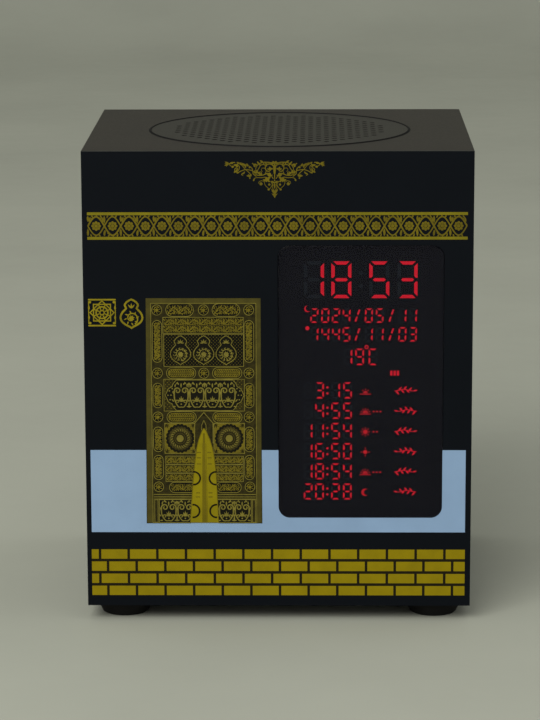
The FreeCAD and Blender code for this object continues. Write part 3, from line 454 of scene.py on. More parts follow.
def bricks():
    """Four courses of gold bricks over the dark joints, staggered."""
    joints, face = Print(FACE_Y, 0.03), Print(FACE_Y, 0.055)
    joints.box(-71.3, 4.0, 70.9, 22.3)
    joints.finish("print_brick_joints", joint_ink)
    for course in range(4):
        top = 22.2 - course * 4.8
        x = -71.3
        width = 2.66 if course % 2 == 0 else 5.66
        while x < 70.4:
            end = min(x + width, 70.9)
            face.box(x, top - 3.71, end, top)
            x = end + 1.0
            width = 9.94
    face.finish("print_bricks", brick_ink)


bricks()


def rosette(layer, x, z, radius, petals=6, width=0.5):
    for i in range(petals):
        layer.leaf(x, z, 360 / petals * i + 15, radius, radius * width)


def vine(layer, x0, x1, z0, z1, units, weight, seed=1):
    """A running scroll between two ends: a wavy stem, a curl with a flower in each bend, leaves and buds."""
    rng = random.Random(seed)
    middle, half = (z0 + z1) / 2, (z1 - z0) / 2
    step = (x1 - x0) / units
    stem = []
    for i in range(units * 10 + 1):
        stem.append((x0 + step * i / 10, middle - half * 0.55 * math.cos(math.pi * i / 10)))
    layer.line(stem, weight)
    for unit in range(units):
        way = 1 if unit % 2 == 0 else -1
        x = x0 + step * (unit + 0.5)
        z = middle - way * half * 0.12
        reach = min(half * 0.72, step * 0.62)
        start = -90 * way - 70
        layer.line(curl(x, z, reach, reach * 0.34, start, start + way * 420, 26), weight * 0.85,
                   weight * 0.45)
        rosette(layer, x, z, reach * 0.33, 6)
        for k in range(9):
            angle = start + way * (40 * k + 18)
            c, s = cos_sin(angle)
            out = reach * (0.99 - 0.06 * (k / 9))
            layer.leaf(x + out * c, z + out * s, angle + way * 50, reach * rng.uniform(0.42, 0.56),
                       weight * 1.25)
        for side in (-1, 1):
            layer.leaf(x + side * step * 0.47, middle + way * half * 0.42, 90 * way - side * 28, half * 0.5,
                       weight * 1.5)
            layer.disc(x + side * step * 0.30, middle + way * half * 0.86, weight * 0.5, 8)
            layer.disc(x + side * step * 0.40, middle - way * half * 0.84, weight * 0.45, 8)


BAND = (-71.05, 141.86, 70.7, 152.2)
band = Print(FACE_Y, 0.03)
band.box(BAND[0], BAND[3] - 1.1, BAND[2], BAND[3])
band.box(BAND[0], BAND[1], BAND[2], BAND[1] + 1.1)
band.finish("print_band_border", band_ink)


def band_scroll():
    """Two stems that cross between the band's lines, with a flower in each eye, leaves and buds."""
    ink = Print(FACE_Y, 0.035)
    x0, x1, low, high = BAND[0] + 0.3, BAND[2] - 0.3, BAND[1] + 1.1, BAND[3] - 1.1
    units = 23
    step = (x1 - x0) / units
    middle, half = (low + high) / 2, (high - low) / 2
    for way in (-1, 1):
        wave = [(x0 + step * i / 12, middle + way * half * 0.86 * math.sin(math.pi * i / 12))
                for i in range(units * 12 + 1)]
        ink.line(wave, 0.62 if way > 0 else 0.5)
    for unit in range(units):
        way = 1 if unit % 2 == 0 else -1
        x = x0 + step * (unit + 0.5)
        for k in range(8):
            c, s = math.cos(math.pi * k / 4), math.sin(math.pi * k / 4)
            ink.disc(x + 1.3 * c, middle + 1.3 * s, 0.53, 12)
            ink.line([(x, middle), (x + 1.1 * c, middle + 1.1 * s)], 0.28)
        ink.disc(x, middle, 0.62, 14)
        for side in (-1, 1):
            ink.leaf(x + side * step * 0.44, middle + way * 1.5, 90 * way + side * 16, 2.2, 0.7)
        ink.leaf(x - step / 2, middle - way * 3.9, 90 * way, 3.1, 0.85)
        ink.leaf(x - step / 2, middle + way * 3.9, -90 * way, 2.4, 0.8)
        for edge in (-1, 1):
            for spot, tall in ((-0.27, 1.3), (0.0, 1.0), (0.25, 1.4)):
                ink.leaf(x + step * spot, middle + edge * (half + 0.05), -90 * edge + 24 * way, tall, 0.6)
            ink.disc(x + step * 0.27 * edge, middle + way * 2.7, 0.34, 10)
    ink.finish("print_band_scroll", gold_ink)


band_scroll()


def ornament():
    """The three-cornered spray of scrolls and leaves over the band, drawn for the right half and mirrored."""
    ink = Print(FACE_Y, 0.03)
    middle, unit = -1.1, 35.1

    def place(points, way):
        return [(middle + way * (x - 782) / unit, 170.9 - (y - 150) / unit) for x, y in points]

    strokes = [
        ([(782, 165), (776, 230), (783, 300), (782, 370)], 18, 8),
        ([(786, 300), (792, 235), (800, 195), (840, 172), (885, 180), (903, 215), (893, 252), (862, 268),
          (838, 252),
          (840, 228)], 15, 12),
        ([(800, 172), (850, 152), (930, 150), (985, 170), (1018, 205), (1030, 240)], 15, 9),
        ([(880, 200), (925, 178), (965, 190), (985, 225), (1010, 262)], 13, 9),
        ([(820, 330), (850, 300), (880, 296), (915, 310), (955, 322), (1000, 318), (1035, 300), (1040, 262),
          (1020, 246)], 14, 9),
        ([(1010, 318), (975, 322), (952, 304), (955, 280), (975, 275)], 12, 8),
        ([(905, 300), (890, 260), (905, 232), (940, 225), (955, 250), (940, 272)], 9, 6),
        ([(860, 365), (900, 345), (955, 352), (1010, 350), (1045, 362), (1052, 385)], 10, 8),
        ([(1020, 335), (1060, 300), (1068, 262), (1110, 250), (1160, 245), (1215, 262), (1262, 283),
          (1295, 268),
          (1300, 240), (1280, 222), (1262, 235)], 12, 10),
        ([(1110, 340), (1100, 305), (1130, 270), (1170, 235), (1205, 190), (1245, 165), (1270, 175)], 12, 8),
        ([(1068, 262), (1075, 230), (1105, 205), (1140, 190), (1190, 168), (1240, 155)], 13, 9),
        ([(1255, 262), (1240, 215), (1262, 180), (1305, 178)], 11, 8),
        ([(1296, 152), (1345, 152), (1375, 168), (1430, 170)], 13, 10),
        ([(1345, 152), (1368, 180), (1345, 200), (1325, 205)], 9, 8),
        ([(800, 365), (818, 335), (812, 312)], 11, 7),
        ([(786, 410), (830, 400), (812, 440), (840, 490), (862, 505)], 10, 8),
        ([(840, 400), (880, 390), (915, 400), (905, 450), (868, 486)], 8, 7),
        ([(925, 400), (950, 392), (985, 405), (990, 430)], 9, 7),
        ([(790, 520), (812, 478), (800, 440)], 10, 7),
    ]
    leaves = [
        (782, 165, 10, 62, 26), (782, 160, 45, 40, 22), (838, 240, 70, 38, 26), (835, 240, 160, 34, 24),
        (842, 242, 10, 40, 22), (885, 180, 60, 36, 20), (930, 150, 30, 52, 22), (985, 172, 55, 44, 22),
        (1005, 185, 10, 66, 26), (1030, 212, 40, 40, 20), (925, 180, 100, 30, 18), (965, 190, 50, 48, 20),
        (1015, 300, 90, 52, 36), (1000, 300, 140, 40, 26), (1030, 290, 40, 38, 24), (975, 300, 200, 34, 22),
        (822, 330, 20, 66, 34), (835, 345, -20, 50, 26), (830, 318, 60, 42, 22), (885, 410, 80, 66, 40),
        (880, 395, 130, 48, 28), (895, 395, 30, 46, 28), (870, 400, 180, 34, 22), (1105, 345, 60, 44, 30),
        (1105, 340, 120, 42, 26), (1100, 345, -70, 26, 20), (1120, 330, 10, 30, 18), (1045, 365, -60, 38, 20),
        (1130, 205, 70, 46, 26), (1150, 195, 20, 58, 26), (1165, 225, 100, 44, 22), (1190, 180, 10, 54, 24),
        (1120, 225, 150, 40, 22), (1262, 215, 60, 44, 26), (1280, 195, 20, 40, 22), (1262, 235, -60, 40, 24),
        (1170, 270, -60, 42, 18), (1190, 285, -50, 46, 16), (1245, 160, 20, 34, 20), (1320, 160, -10, 40, 20),
        (1375, 168, 25, 62, 24), (1375, 172, -20, 66, 22), (1330, 200, -80, 26, 22), (1290, 262, -50, 34, 24),
        (1240, 275, -30, 44, 18), (782, 620, 90, 110, 34), (782, 560, 55, 76, 26), (782, 560, 125, 76, 26),
        (782, 590, 40, 50, 18), (782, 500, 90, 90, 22), (800, 430, 80, 40, 18),
    ]
    buds = [(960, 432, 21), (852, 442, 15), (860, 505, 15), (1325, 206, 14), (782, 412, 8), (782, 385, 9),
            (1052, 385, 8), (1198, 320, 6), (1278, 268, 15), (975, 300, 14), (1068, 165, 8), (1405, 200, 5)]
    for way in (-1, 1):
        for points, start, end in strokes:
            ink.line(place(curve(points, 6), way), start / unit, end / unit)
        for x, y, turn, length, width in leaves:
            root = place([(x, y)], way)[0]
            ink.leaf(*root, turn if way > 0 else 180 - turn, length / unit, width / unit)
        for x, y, radius in buds:
            spot = place([(x, y)], way)[0]
            ink.disc(*spot, radius / unit, 14)
    ink.finish("print_ornament", gold_ink)


ornament()


def square_motif():
    """A framed knot of crossing lines, eight-pointed, between two bars."""
    ink = Print(FACE_Y, 0.03)
    x0, z0, x1, z1 = -71.15, 108.9, -60.8, 119.4
    ink.box(x0, z1 - 0.6, x1, z1)
    ink.box(x0, z0, x1, z0 + 0.6)
    x, z = (x0 + x1) / 2, (z0 + z1) / 2
    for turn in (0, 45):
        ink.line(around(x, z, 4.5, 4, turn + 45, turn + 405), 0.62, closed=True)
    ink.ring(x, z, 2.5, 0.55)
    ink.ring(x, z, 1.1, 0.5, 14)
    for i in range(8):
        c, s = cos_sin(45 * i + 22.5)
        ink.line([(x + c * 1.2, z + s * 1.2), (x + c * 3.6, z + s * 3.6)], 0.42)
    for side in (-1, 1):
        for rise in (-1, 1):
            ink.disc(x + side * 4.5, z + rise * 4.0, 0.5, 10)
            ink.leaf(x + side * 4.9, z + rise * 1.0, 90 * rise, 1.9, 0.7)
    for side in (-1, 1):
        ink.box(x + side * 5.0 - 0.17, z0 + 0.9, x + side * 5.0 + 0.17, z1 - 0.9)
    ink.finish("print_square_motif", motif_ink)


square_motif()


def lamp_outline(x, top, wide, tall):
    """The outline of a hanging-lamp medallion: a small pointed lobe over a large pointed one."""
    half = [(0.0, 0.0), (0.10, 0.035), (0.22, 0.095), (0.295, 0.17), (0.30, 0.215), (0.262, 0.27),
            (0.235, 0.31),
            (0.30, 0.365), (0.40, 0.44), (0.475, 0.54), (0.50, 0.63), (0.475, 0.72), (0.40, 0.80),
            (0.27, 0.875),
            (0.12, 0.935), (0.03, 0.975), (0.0, 1.0)]
    right = [(x + a * wide, top - b * tall) for a, b in half]
    return right + [(2 * x - a, b) for a, b in reversed(right[1:-1])]


def medallion():
    ink = Print(FACE_Y, 0.03)
    x, top, wide, tall = -54.95, 119.2, 9.0, 11.4
    ink.line(lamp_outline(x, top, wide - 0.75, tall - 0.4), 0.72, closed=True)
    z = top - tall * 0.63
    ink.line(curl(x, z, 2.6, 0.6, -60, 330), 0.5, 0.35)
    rosette(ink, x, z, 1.25, 8, 0.42)
    for i in range(8):
        c, s = cos_sin(45 * i)
        ink.leaf(x + c * 1.7, z + s * 1.7, 45 * i + 30, 1.35, 0.5)
    for turn in (90, 50, 130):
        ink.leaf(x, top - tall * 0.30, turn, 2.0, 0.55)
    ink.finish("print_medallion", motif_ink)


medallion()


# The door picture: a gold-worked curtain with roundels, cartouches and panels, parted over a bright door
PIC_LEFT, PIC_TOP = -49.6, 120.0
PIC_ACROSS, PIC_DOWN = 17.55, 16.816  # fine steps in a millimetre


def pic(x, y):
    return (PIC_LEFT + (x - 35) / PIC_ACROSS, PIC_TOP - (y - 52) / PIC_DOWN)


class Picture(Print):
    """Ink laid out on the picture's own grid of fine steps, across from the left and down from the top."""

    def area(self, x0, y0, x1, y1):
        a, b = pic(x0, y1), pic(x1, y0)
        self.box(*a, *b)

    def border(self, x0, y0, x1, y1, width):
        a, b = pic(x0, y1), pic(x1, y0)
        self.frame(*a, *b, width / PIC_ACROSS)

    def stroke(self, points, width, closed=False):
        self.line([pic(x, y) for x, y in points], width / PIC_ACROSS, closed=closed)

    def shape(self, points):
        self.fill([pic(x, y) for x, y in points])

    def scroll(self, x0, y0, x1, y1, units, weight, seed):
        a, b = pic(x0, y1), pic(x1, y0)
        vine(self, a[0], b[0], a[1], b[1], units, weight / 21, seed)


def pill(x0, y0, x1, y1, steps=8):
    """A long rounded cartouche, upright or lying."""
    wide, tall = x1 - x0, y1 - y0
    r = min(wide, tall) / 2
    if wide >= tall:
        return around(x1 - r, y0 + r, r, steps, -90, 90) + around(x0 + r, y0 + r, r, steps, 90, 270)
    return around(x0 + r, y1 - r, r, steps, 0, 180) + around(x0 + r, y0 + r, r, steps, 180, 360)


def pointed(x0, y0, x1, y1, tip, waist):
    """A lying cartouche with stepped, pointed ends."""
    m = (y0 + y1) / 2
    right = [(x1 - tip, y0), (x1 - tip * 0.72, y0 + waist * 0.5), (x1 - tip * 0.60, y0 + waist),
             (x1 - tip * 0.30, y0 + waist * 1.25), (x1 - tip * 0.22, m - waist * 0.75), (x1, m),
             (x1 - tip * 0.22, m + waist * 0.75), (x1 - tip * 0.30, y1 - waist * 1.25),
             (x1 - tip * 0.60, y1 - waist), (x1 - tip * 0.72, y1 - waist * 0.5), (x1 - tip, y1)]
    return right + [(x0 + x1 - x, y) for x, y in reversed(right)]


edge = Picture(FACE_Y, 0.045)
edge.strip([pic(36, 60), pic(25, 1524), pic(322, 1524)], [pic(40, 60), pic(33, 1516), pic(322, 1516)])
edge.strip([pic(791, 60), pic(798, 1524), pic(508, 1524)], [pic(787, 60), pic(790, 1516), pic(508, 1516)])
edge.finish("picture_edge", black_ink)
base = Picture(FACE_Y, 0.055)
base.shape([(36, 58), (791, 58), (794, 1520), (29, 1520)])
base.finish("picture_base", border_ink)
ground = Picture(FACE_Y, 0.08)
ground.area(72, 95, 757, 1520)
ground.finish("picture_ground", curtain_ink)

dark, work = Picture(FACE_Y, 0.105), Picture(FACE_Y, 0.13)
black, bronze = Picture(FACE_Y, 0.155), Picture(FACE_Y, 0.18)
light, bold = Picture(FACE_Y, 0.205), Picture(FACE_Y, 0.23)
handle_work = Picture(FACE_Y, 0.23)


class Upright:
    """Passes strokes on to a layer with across and up exchanged about a place, so that a scroll climbs."""

    def __init__(self, layer, x, z):
        self.layer, self.x, self.z = layer, x, z

    def spot(self, x, z):
        return self.x + z - self.z, self.z + x - self.x

    def line(self, points, width, end=None, closed=False):
        self.layer.line([self.spot(*point) for point in points], width, end, closed)

    def leaf(self, x, z, turn, length, width):
        self.layer.leaf(*self.spot(x, z), 90 - turn, length, width)

    def disc(self, x, z, radius, sides=20):
        self.layer.disc(*self.spot(x, z), radius, sides)


def roundel(x, y, radius):
    dark.shape(around(x, y, radius, 20))
    light.stroke(around(x, y, radius, 20), 4.5, closed=True)
    spot = pic(x, y)
    reach = radius / PIC_ACROSS
    work.line(curl(spot[0], spot[1] + 0.1, reach * 0.66, reach * 0.2, 40, 400, 18), 0.3, 0.24)
    rosette(work, *spot, reach * 0.42, 5, 0.6)
    for i in range(7):
        c, s = cos_sin(360 / 7 * i)
        work.leaf(spot[0] + c * reach * 0.45, spot[1] + s * reach * 0.45, 360 / 7 * i + 50, reach * 0.5, 0.32)


def cartouche(x0, y0, x1, y1, seed):
    dark.shape(pill(x0, y0, x1, y1))
    light.stroke(pill(x0, y0, x1, y1), 4.5, closed=True)
    if x1 - x0 > y1 - y0:
        units = max(3, round((x1 - x0) / (y1 - y0) * 1.6))
        work.scroll(x0 + 16, y0 + 11, x1 - 16, y1 - 11, units, 6.5, seed)
    else:
        a, b = pic(x0 + 10, y1 - 18), pic(x1 - 10, y0 + 18)
        wide, tall = b[0] - a[0], b[1] - a[1]
        units = max(3, round(tall / wide * 1.5))
        vine(Upright(work, *a), a[0], a[0] + tall, a[1], a[1] + wide, units, 0.38, seed)


def filled_cartouche(x0, y0, x1, y1):
    """A lying cartouche with a worked gold ground parted by a dark line along its middle."""
    dark.shape(pill(x0, y0, x1, y1))
    light.stroke(pill(x0, y0, x1, y1), 4.5, closed=True)
    work.shape(pill(x0 + 9, y0 + 9, x1 - 9, y1 - 9))
    middle = (y0 + y1) / 2
    black.area(x0 + 22, middle - 2.5, x1 - 22, middle + 2.5)
    x = x0 + 24
    while x < x1 - 20:
        for way in (-1, 1):
            spot = pic(x, middle + way * (y1 - y0) * 0.23)
            black.leaf(*spot, 35 * way, 0.8, 0.26)
            black.leaf(spot[0] + 0.3, spot[1], 210 * way, 0.7, 0.24)
            black.disc(spot[0] + 0.35, spot[1] + 0.45 * way, 0.11, 6)
        x += 14


def wheel(x, y):
    """A round flower in a worked square: scalloped black rim, bronze ground and bright boss."""
    light.border(x - 104, y - 101, x + 104, y + 100, 4)
    work.area(x - 100, y - 97, x + 100, y + 96)
    for way_x in (-1, 1):
        for way_y in (-1, 1):
            turn = math.degrees(math.atan2(way_y, -way_x))
            for lean, out in ((-50, 96), (-22, 92), (22, 92), (50, 96), (0, 97)):
                spot = pic(x + way_x * out, y + way_y * (out - 4))
                black.leaf(*spot, turn + lean, 1.5, 0.3)
    for i in range(22):
        c, s = math.cos(2 * math.pi * i / 22), math.sin(2 * math.pi * i / 22)
        black.shape(around(x + c * 82, y + s * 82, 14, 10))
        bronze.shape(around(x + c * 69, y + s * 69, 10.5, 10))
    black.shape(around(x, y, 84, 32))
    bronze.shape(around(x, y, 71, 32))
    for i in range(22):
        c, s = math.cos(2 * math.pi * i / 22), math.sin(2 * math.pi * i / 22)
        spot = pic(x + c * 46, y + s * 46)
        light.leaf(*spot, -360 * i / 22 + 28, 1.35, 0.3)
        bold.leaf(*pic(x + c * 60, y + s * 60), -360 * i / 22 - 40, 0.5, 0.2)
    handle_work.stroke(around(x, y, 42, 28), 5, closed=True)
    handle_work.stroke(around(x, y, 29, 24), 4, closed=True)
    light.shape(around(x, y, 23, 20))


def scroll_rows(x0, y0, x1, y1, rows, units, weight, seed):
    """A panel packed with rows of scrolls."""
    step = (y1 - y0) / rows
    for row in range(rows):
        work.scroll(x0, y0 + step * row, x1, y0 + step * (row + 1), units, weight, seed + row)


def stipple(x0, y0, x1, y1, pitch, size):
    """A field of small diamonds in staggered rows."""
    rows = int((y1 - y0) / pitch)
    for row in range(rows + 1):
        y = y0 + pitch * row
        x = x0 + (pitch if row % 2 else 0)
        while x <= x1:
            work.shape([(x - size, y), (x, y - size), (x + size, y), (x, y + size)])
            x += pitch * 2


def arabesque(low, high, pairs):
    """A bold frieze that fills a black panel: mirrored pairs of scrolls, each round a palmette."""
    step, middle, half = (high[0] - low[0]) / pairs, (low[1] + high[1]) / 2, (high[1] - low[1]) / 2
    reach = min(step * 0.21, half * 0.5)
    for i in range(pairs):
        x = low[0] + step * (i + 0.5)
        for way in (-1, 1):
            bold.line(curve([(x, middle - half * 0.9), (x + way * step * 0.2, middle - half * 0.86),
                             (x + way * step * 0.42, middle - half * 0.3),
                             (x + way * (step * 0.23 + reach), middle + half * 0.36)]), 0.34, 0.55)
            turn = 0 if way > 0 else 180
            bold.line(curl(x + way * step * 0.23, middle + half * 0.36, reach, 0.32, turn, turn + way * 430,
                           24), 0.52, 0.4)
            bold.line(curl(x + way * step * 0.24, middle - half * 0.48, reach * 0.6, 0.25, 90 - way * 150,
                           90 + way * 210, 16), 0.42, 0.32)
            for along, up, turn, tall in ((0.44, 0.02, 70, 1.7), (0.40, 0.62, 100, 1.5), (0.14, 0.8, 60, 1.1),
                                          (0.46, -0.5, 50, 1.5), (0.34, -0.85, -10, 1.3),
                                          (0.30, 0.86, 120, 1.1)):
                turn = turn if way > 0 else 180 - turn
                bold.leaf(x + way * step * along, middle + half * up, turn, tall, 0.5)
        for lean, tall in ((0, 2.3), (-26, 1.9), (26, 1.9), (-54, 1.4), (54, 1.4)):
            bold.leaf(x, middle - half * 0.5, 90 + lean, tall, 0.5)
        bold.leaf(x, middle + half * 0.95, -90, 2.0, 0.6)
        bold.disc(x, middle - half * 0.68, 0.3, 10)
        if i:
            for lean, tall in ((0, 2.2), (-34, 1.7), (34, 1.7)):
                bold.leaf(x - step / 2, middle + half * 0.98, -90 + lean, tall, 0.5)
            bold.leaf(x - step / 2, middle - half * 0.98, 90, 2.4, 0.6)


def curtain():
    light.border(66, 88, 763, 1520, 4)
    for y in (133, 540, 825):
        for x in (108, 415, 713):
            if not (y == 825 and x == 415):
                roundel(x, y, 33)
    cartouche(167, 92, 350, 174, 11)
    cartouche(472, 92, 655, 174, 12)
    dark.area(150, 182, 675, 280)
    light.border(146, 178, 679, 284, 4)
    scroll_rows(156, 186, 669, 277, 2, 13, 7.0, 20)
    for x0, x1, seed in ((77, 140, 31), (682, 745, 32)):
        cartouche(x0, 200, x1, 470, seed)
        cartouche(x0, 605, x1, 765, seed + 2)
        cartouche(x0, 890, x1, 1052, seed + 4)
        cartouche(x0, 1075, x1, 1235, seed + 6)
    dark.area(153, 290, 677, 495)
    light.border(150, 287, 680, 498, 4)
    stipple(160, 298, 670, 488, 11, 3.2)
    for x in (262, 415, 563):
        spot = pic(x, 298)
        outline = lamp_outline(*spot, 135 / PIC_ACROSS, 189 / PIC_DOWN)
        light.line(outline, 5 / PIC_ACROSS, closed=True)
        shade = lamp_outline(spot[0], spot[1] - 0.2, 120 / PIC_ACROSS, 172 / PIC_DOWN)
        black.fill(shade)
        centre = pic(x, 418)
        bold.line(curl(*centre, 2.6, 0.5, -80, 420), 0.34, 0.22)
        rosette(bold, *centre, 1.2, 8)
        for i in range(12):
            c, s = cos_sin(30 * i)
            bold.leaf(centre[0] + c * 1.5, centre[1] + s * 1.5, 30 * i + 40, 1.3, 0.36)
            bold.leaf(centre[0] + c * 2.75, centre[1] + s * 2.5, 30 * i + 110, 0.8, 0.26)
        neck = pic(x, 345)
        for turn in (90, 45, 135, 0, 180):
            bold.leaf(*neck, turn, 1.5, 0.45)
    for y in (503, 790):
        filled_cartouche(168, y, 362, y + 73)
        filled_cartouche(472, y, 666, y + 73)
    stipple(160, 590, 672, 778, 12, 3.6)
    light.border(148, 578, 684, 788, 4)
    black.shape(pointed(158, 584, 680, 783, 75, 44))
    bold.line([pic(x, y) for x, y in pointed(158, 584, 680, 783, 75, 44)], 5 / PIC_ACROSS, closed=True)
    low, high = pic(212, 768), pic(626, 600)
    arabesque(low, high, 4)
    for way in (-1, 1):
        for x, y in ((196, 683), (186, 655), (205, 640), (190, 712), (210, 662), (176, 683)):
            spot = pic(419 + way * (419 - x), y)
            bold.disc(*spot, 0.28, 10)
    wheel(254, 965)
    wheel(580, 965)
    for x0, x1 in ((158, 372), (470, 672)):
        for i in range(3):
            y = 1082 + i * 57
            light.border(x0 - 3, y - 3, x1 + 3, y + 53, 4)
            dark.area(x0, y, x1, y + 50)
            work.scroll(x0 + 5, y + 4, x1 - 5, y + 46, 7, 7.0, 60 + i)
        cartouche(x0 + 22, 1252, x1 - 14, 1320, 70)
    for x in (109, 716):
        roundel(x, 1282, 32)
    for y in (1330, 1346, 1360):
        light.area(75, y, 755, y + 5)
    for x0, x1 in ((112, 345), (500, 722)):
        black.area(x0, 1368, x1, 1516)
        bold.frame(*pic(x0 - 4, 1520), *pic(x1 + 4, 1364), 4.5 / PIC_ACROSS)
        arabesque(pic(x0 + 6, 1512), pic(x1 - 6, 1374), 2)
    for x0, x1 in ((78, 104), (730, 754)):
        light.border(x0, 1366, x1, 1518, 4)


curtain()
dark.finish("picture_dark_panels", curtain_dark)
work.finish("picture_fine_work", work_ink)
light.finish("picture_outlines", line_ink)
black.finish("picture_black_panels", black_ink)
bronze.finish("picture_bronze_discs", bronze_ink)
handle_work.finish("picture_wheel_rings", handle_ink)
bold.finish("picture_bold_work", line_ink)


def sloped(points):
    """Places on the photograph's own slope, brought back to the picture's upright grid."""
    return [(x - ((790 - x) * 19 + (x - 36) * 2) / 754 * (y - 55) / 1465, y - 4) for x, y in points]


def door():
    """The bright door where the curtain parts, its middle rib, its bars and its ring handles."""
    tent, leaf, trim = Picture(FACE_Y, 0.255), Picture(FACE_Y, 0.28), Picture(FACE_Y, 0.305)
    tent.shape(sloped([(418, 797), (478, 868), (480, 1040), (360, 1040), (362, 868)]))
    tent.finish("picture_tent", curtain_ink)
    left = sloped([(415, 903), (404, 923), (385, 977), (372, 1030), (365, 1083), (353, 1189), (344, 1295),
                   (330, 1520)])
    right = sloped([(421, 903), (434, 923), (457, 977), (473, 1030), (484, 1083), (497, 1189), (503, 1295),
                    (514, 1520)])
    leaf.strip([pic(x, y) for x, y in left], [pic(x, y) for x, y in right])
    leaf.finish("picture_door", door_gold)
    for side in (left, right):
        trim.stroke(side, 5)
    for inner, outer in (((412, 411), (424, 438)), ((409, 407), (412, 410)), ((430, 441), (433, 444))):
        top = 935 if outer[0] == 424 else 1000
        trim.shape(sloped([(inner[0], top), (outer[0], top), (outer[1], 1518), (inner[1], 1518)]))
    for y in (1060, 1095, 1135, 1325, 1352):
        wide = 32 + (y - 1000) / 600 * 16
        for x in (420 - wide, 420 + wide):
            trim.shape(sloped([(x - 13, y - 3.5), (x + 13, y - 3.5), (x + 13, y + 3.5), (x - 13, y + 3.5)]))
    trim.finish("picture_door_trim", rib_ink)
    edges = Picture(FACE_Y, 0.305)
    for way in (-1, 1):
        edges.stroke(sloped([(418, 799), (418 + way * 60, 868), (418 + way * 61, 1000)]), 5)
        edges.stroke(sloped([(418, 850), (418 + way * 14, 880), (418 + way * 16, 915)]), 4)
    edges.finish("picture_tent_edges", line_ink)
    handles = Picture(FACE_Y, 0.33)
    handles.shape(sloped([(418, 802), (437, 826), (418, 820), (399, 826)]))
    handles.shape(sloped([(418, 868), (426, 905), (418, 896), (410, 905)]))
    for y in (1229, 1445):
        shift = (y - 1229) * 0.02
        handles.stroke(sloped(around(352 - shift, y, 42, 20, -96, 96)), 11.5)
        handles.stroke(sloped(around(496 + shift, y, 42, 20, 84, 276)), 11.5)
    handles.finish("picture_handles", handle_ink)


door()


# Display: lit and unlit bars just in front of the film, behind the smoked window
def digit_bars(left, low, wide, tall, bar, gap, lean=0.0):
    """The seven bars of a digit: top, bottom, middle, upper left, lower left, upper right, lower right."""
    middle, half = tall / 2, bar / 2
    top = [(gap, tall), (wide - gap, tall), (wide - bar - gap, tall - bar), (bar + gap, tall - bar)]
    side = [(0, tall - gap), (bar, tall - bar - gap), (bar, middle + half + gap), (half, middle + gap),
            (0, middle + gap)]
    across = [(half + gap, middle), (bar + gap, middle + half), (wide - bar - gap, middle + half)]
    across += [(wide - x, tall - up) for x, up in across]
    bars = [top, [(x, tall - up) for x, up in top], across]
    for points in (side, [(wide - x, up) for x, up in side]):
        bars += [points, [(x, tall - up) for x, up in points]]
    return [[(left + x + lean * up / tall, low + up) for x, up in points] for points in bars]


BARS_OF = {
    "0": (0, 1, 3, 4, 5, 6), "1": (5, 6), "2": (0, 1, 2, 4, 5), "3": (0, 1, 2, 5, 6), "4": (2, 3, 5, 6),
    "5": (0, 1, 2, 3, 6), "8": (0, 1, 2, 3, 4, 5, 6), "9": (0, 1, 2, 3, 5, 6), "6": (0, 1, 2, 3, 4, 6),
    "C": (0, 1, 3, 4), " ": (),
}
SHOW_Y = FILM_LOW[1]
lit_bars = Print(SHOW_Y, 0.06)
dim_bars = Print(SHOW_Y, 0.06)
unlit_bars = Print(SHOW_Y, 0.03)


def digits(text, lefts, low, wide, tall, bar, gap, lean=0.0):
    for sign, left in zip(text, lefts):
        for i, points in enumerate(digit_bars(left, low, wide, tall, bar, gap, lean)):
            if i in BARS_OF[sign]:
                lit_bars.fill(points)
            else:
                unlit_bars.fill(points)


digits("1853", (9.75, 20.0, 34.2, 44.75), 119.3, 7.5, 14.0, 1.25, 0.72)
for colon_up in (123.9, 128.9):
    unlit_bars.disc(31.0, colon_up, 0.8, 16)

DATE_LEFTS = (12.05, 16.15, 20.15, 24.1, 32.5, 36.55, 45.1, 49.05)
for date, low in (("20240511", 109.6), ("14451103", 102.4)):
    digits(date, DATE_LEFTS, low + 0.28, 2.95, 5.5, 0.6, 0.4, 0.22)
    for left in (28.75, 41.45):
        for start, end in (((0.3, 0.75), (0.9, 2.6)), ((1.2, 3.45), (1.85, 5.3))):
            lit_bars.line([(left + start[0], low + start[1]), (left + end[0], low + end[1])], 0.6)
lit_bars.disc(11.0, 107.8, 0.78, 18)
moon = around(11.1, 115.2, 1.25, 14, 94, 320)
inner = around(11.5, 115.4, 1.15, 14, 115, 299)
lit_bars.strip(moon, inner)

digits("19C", (24.6, 29.0, 34.05), 93.6, 3.3, 6.4, 0.64, 0.4)
lit_bars.ring(33.25, 100.55, 0.78, 0.36, 20)

ROW_LEFTS = (9.6, 13.95, 20.0, 24.5)
ROWS = (" 315", " 455", "1154", "1650", "1854", "2028")
ROW_UP = 83.87
ROW_STEP = 7.87
for row, text in enumerate(ROWS):
    middle = ROW_UP - ROW_STEP * row
    digits(text, ROW_LEFTS, middle - 3.15, 3.3, 6.3, 0.64, 0.42)
    for rise in (-1.15, 1.15):
        lit_bars.disc(18.55, middle + rise, 0.44, 12)


def sky_icon(row, x, z):
    """A small sign for a time of day: dawn, sunrise, noon, afternoon, sunset or night."""
    if row == 5:
        dim_bars.strip(around(x, z, 1.45, 14, 60, 300), around(x + 0.66, z, 1.12, 14, 75, 285))
        return
    rise = (-0.75, -0.6, 0.0, 0.0, -0.6)[row]
    radius = (0.8, 1.0, 0.85, 0.8, 1.0)[row]
    if row in (0, 1, 4):
        dim_bars.fill(around(x, z + rise, radius, 12, 0, 180))
        dim_bars.line([(x - 2.1, z + rise - 0.38), (x + 2.1, z + rise - 0.38)], 0.3)
        angles = (20, 55, 90, 125, 160) if row else (45, 90, 135)
    else:
        dim_bars.disc(x, z, radius, 16)
        angles = range(0, 360, 45 if row == 2 else 90)
    for angle in angles:
        c, s = cos_sin(angle)
        dim_bars.line([(x + c * (radius + 0.32), z + rise + s * (radius + 0.32)),
                       (x + c * (radius + 0.95), z + rise + s * (radius + 0.95))], 0.28)


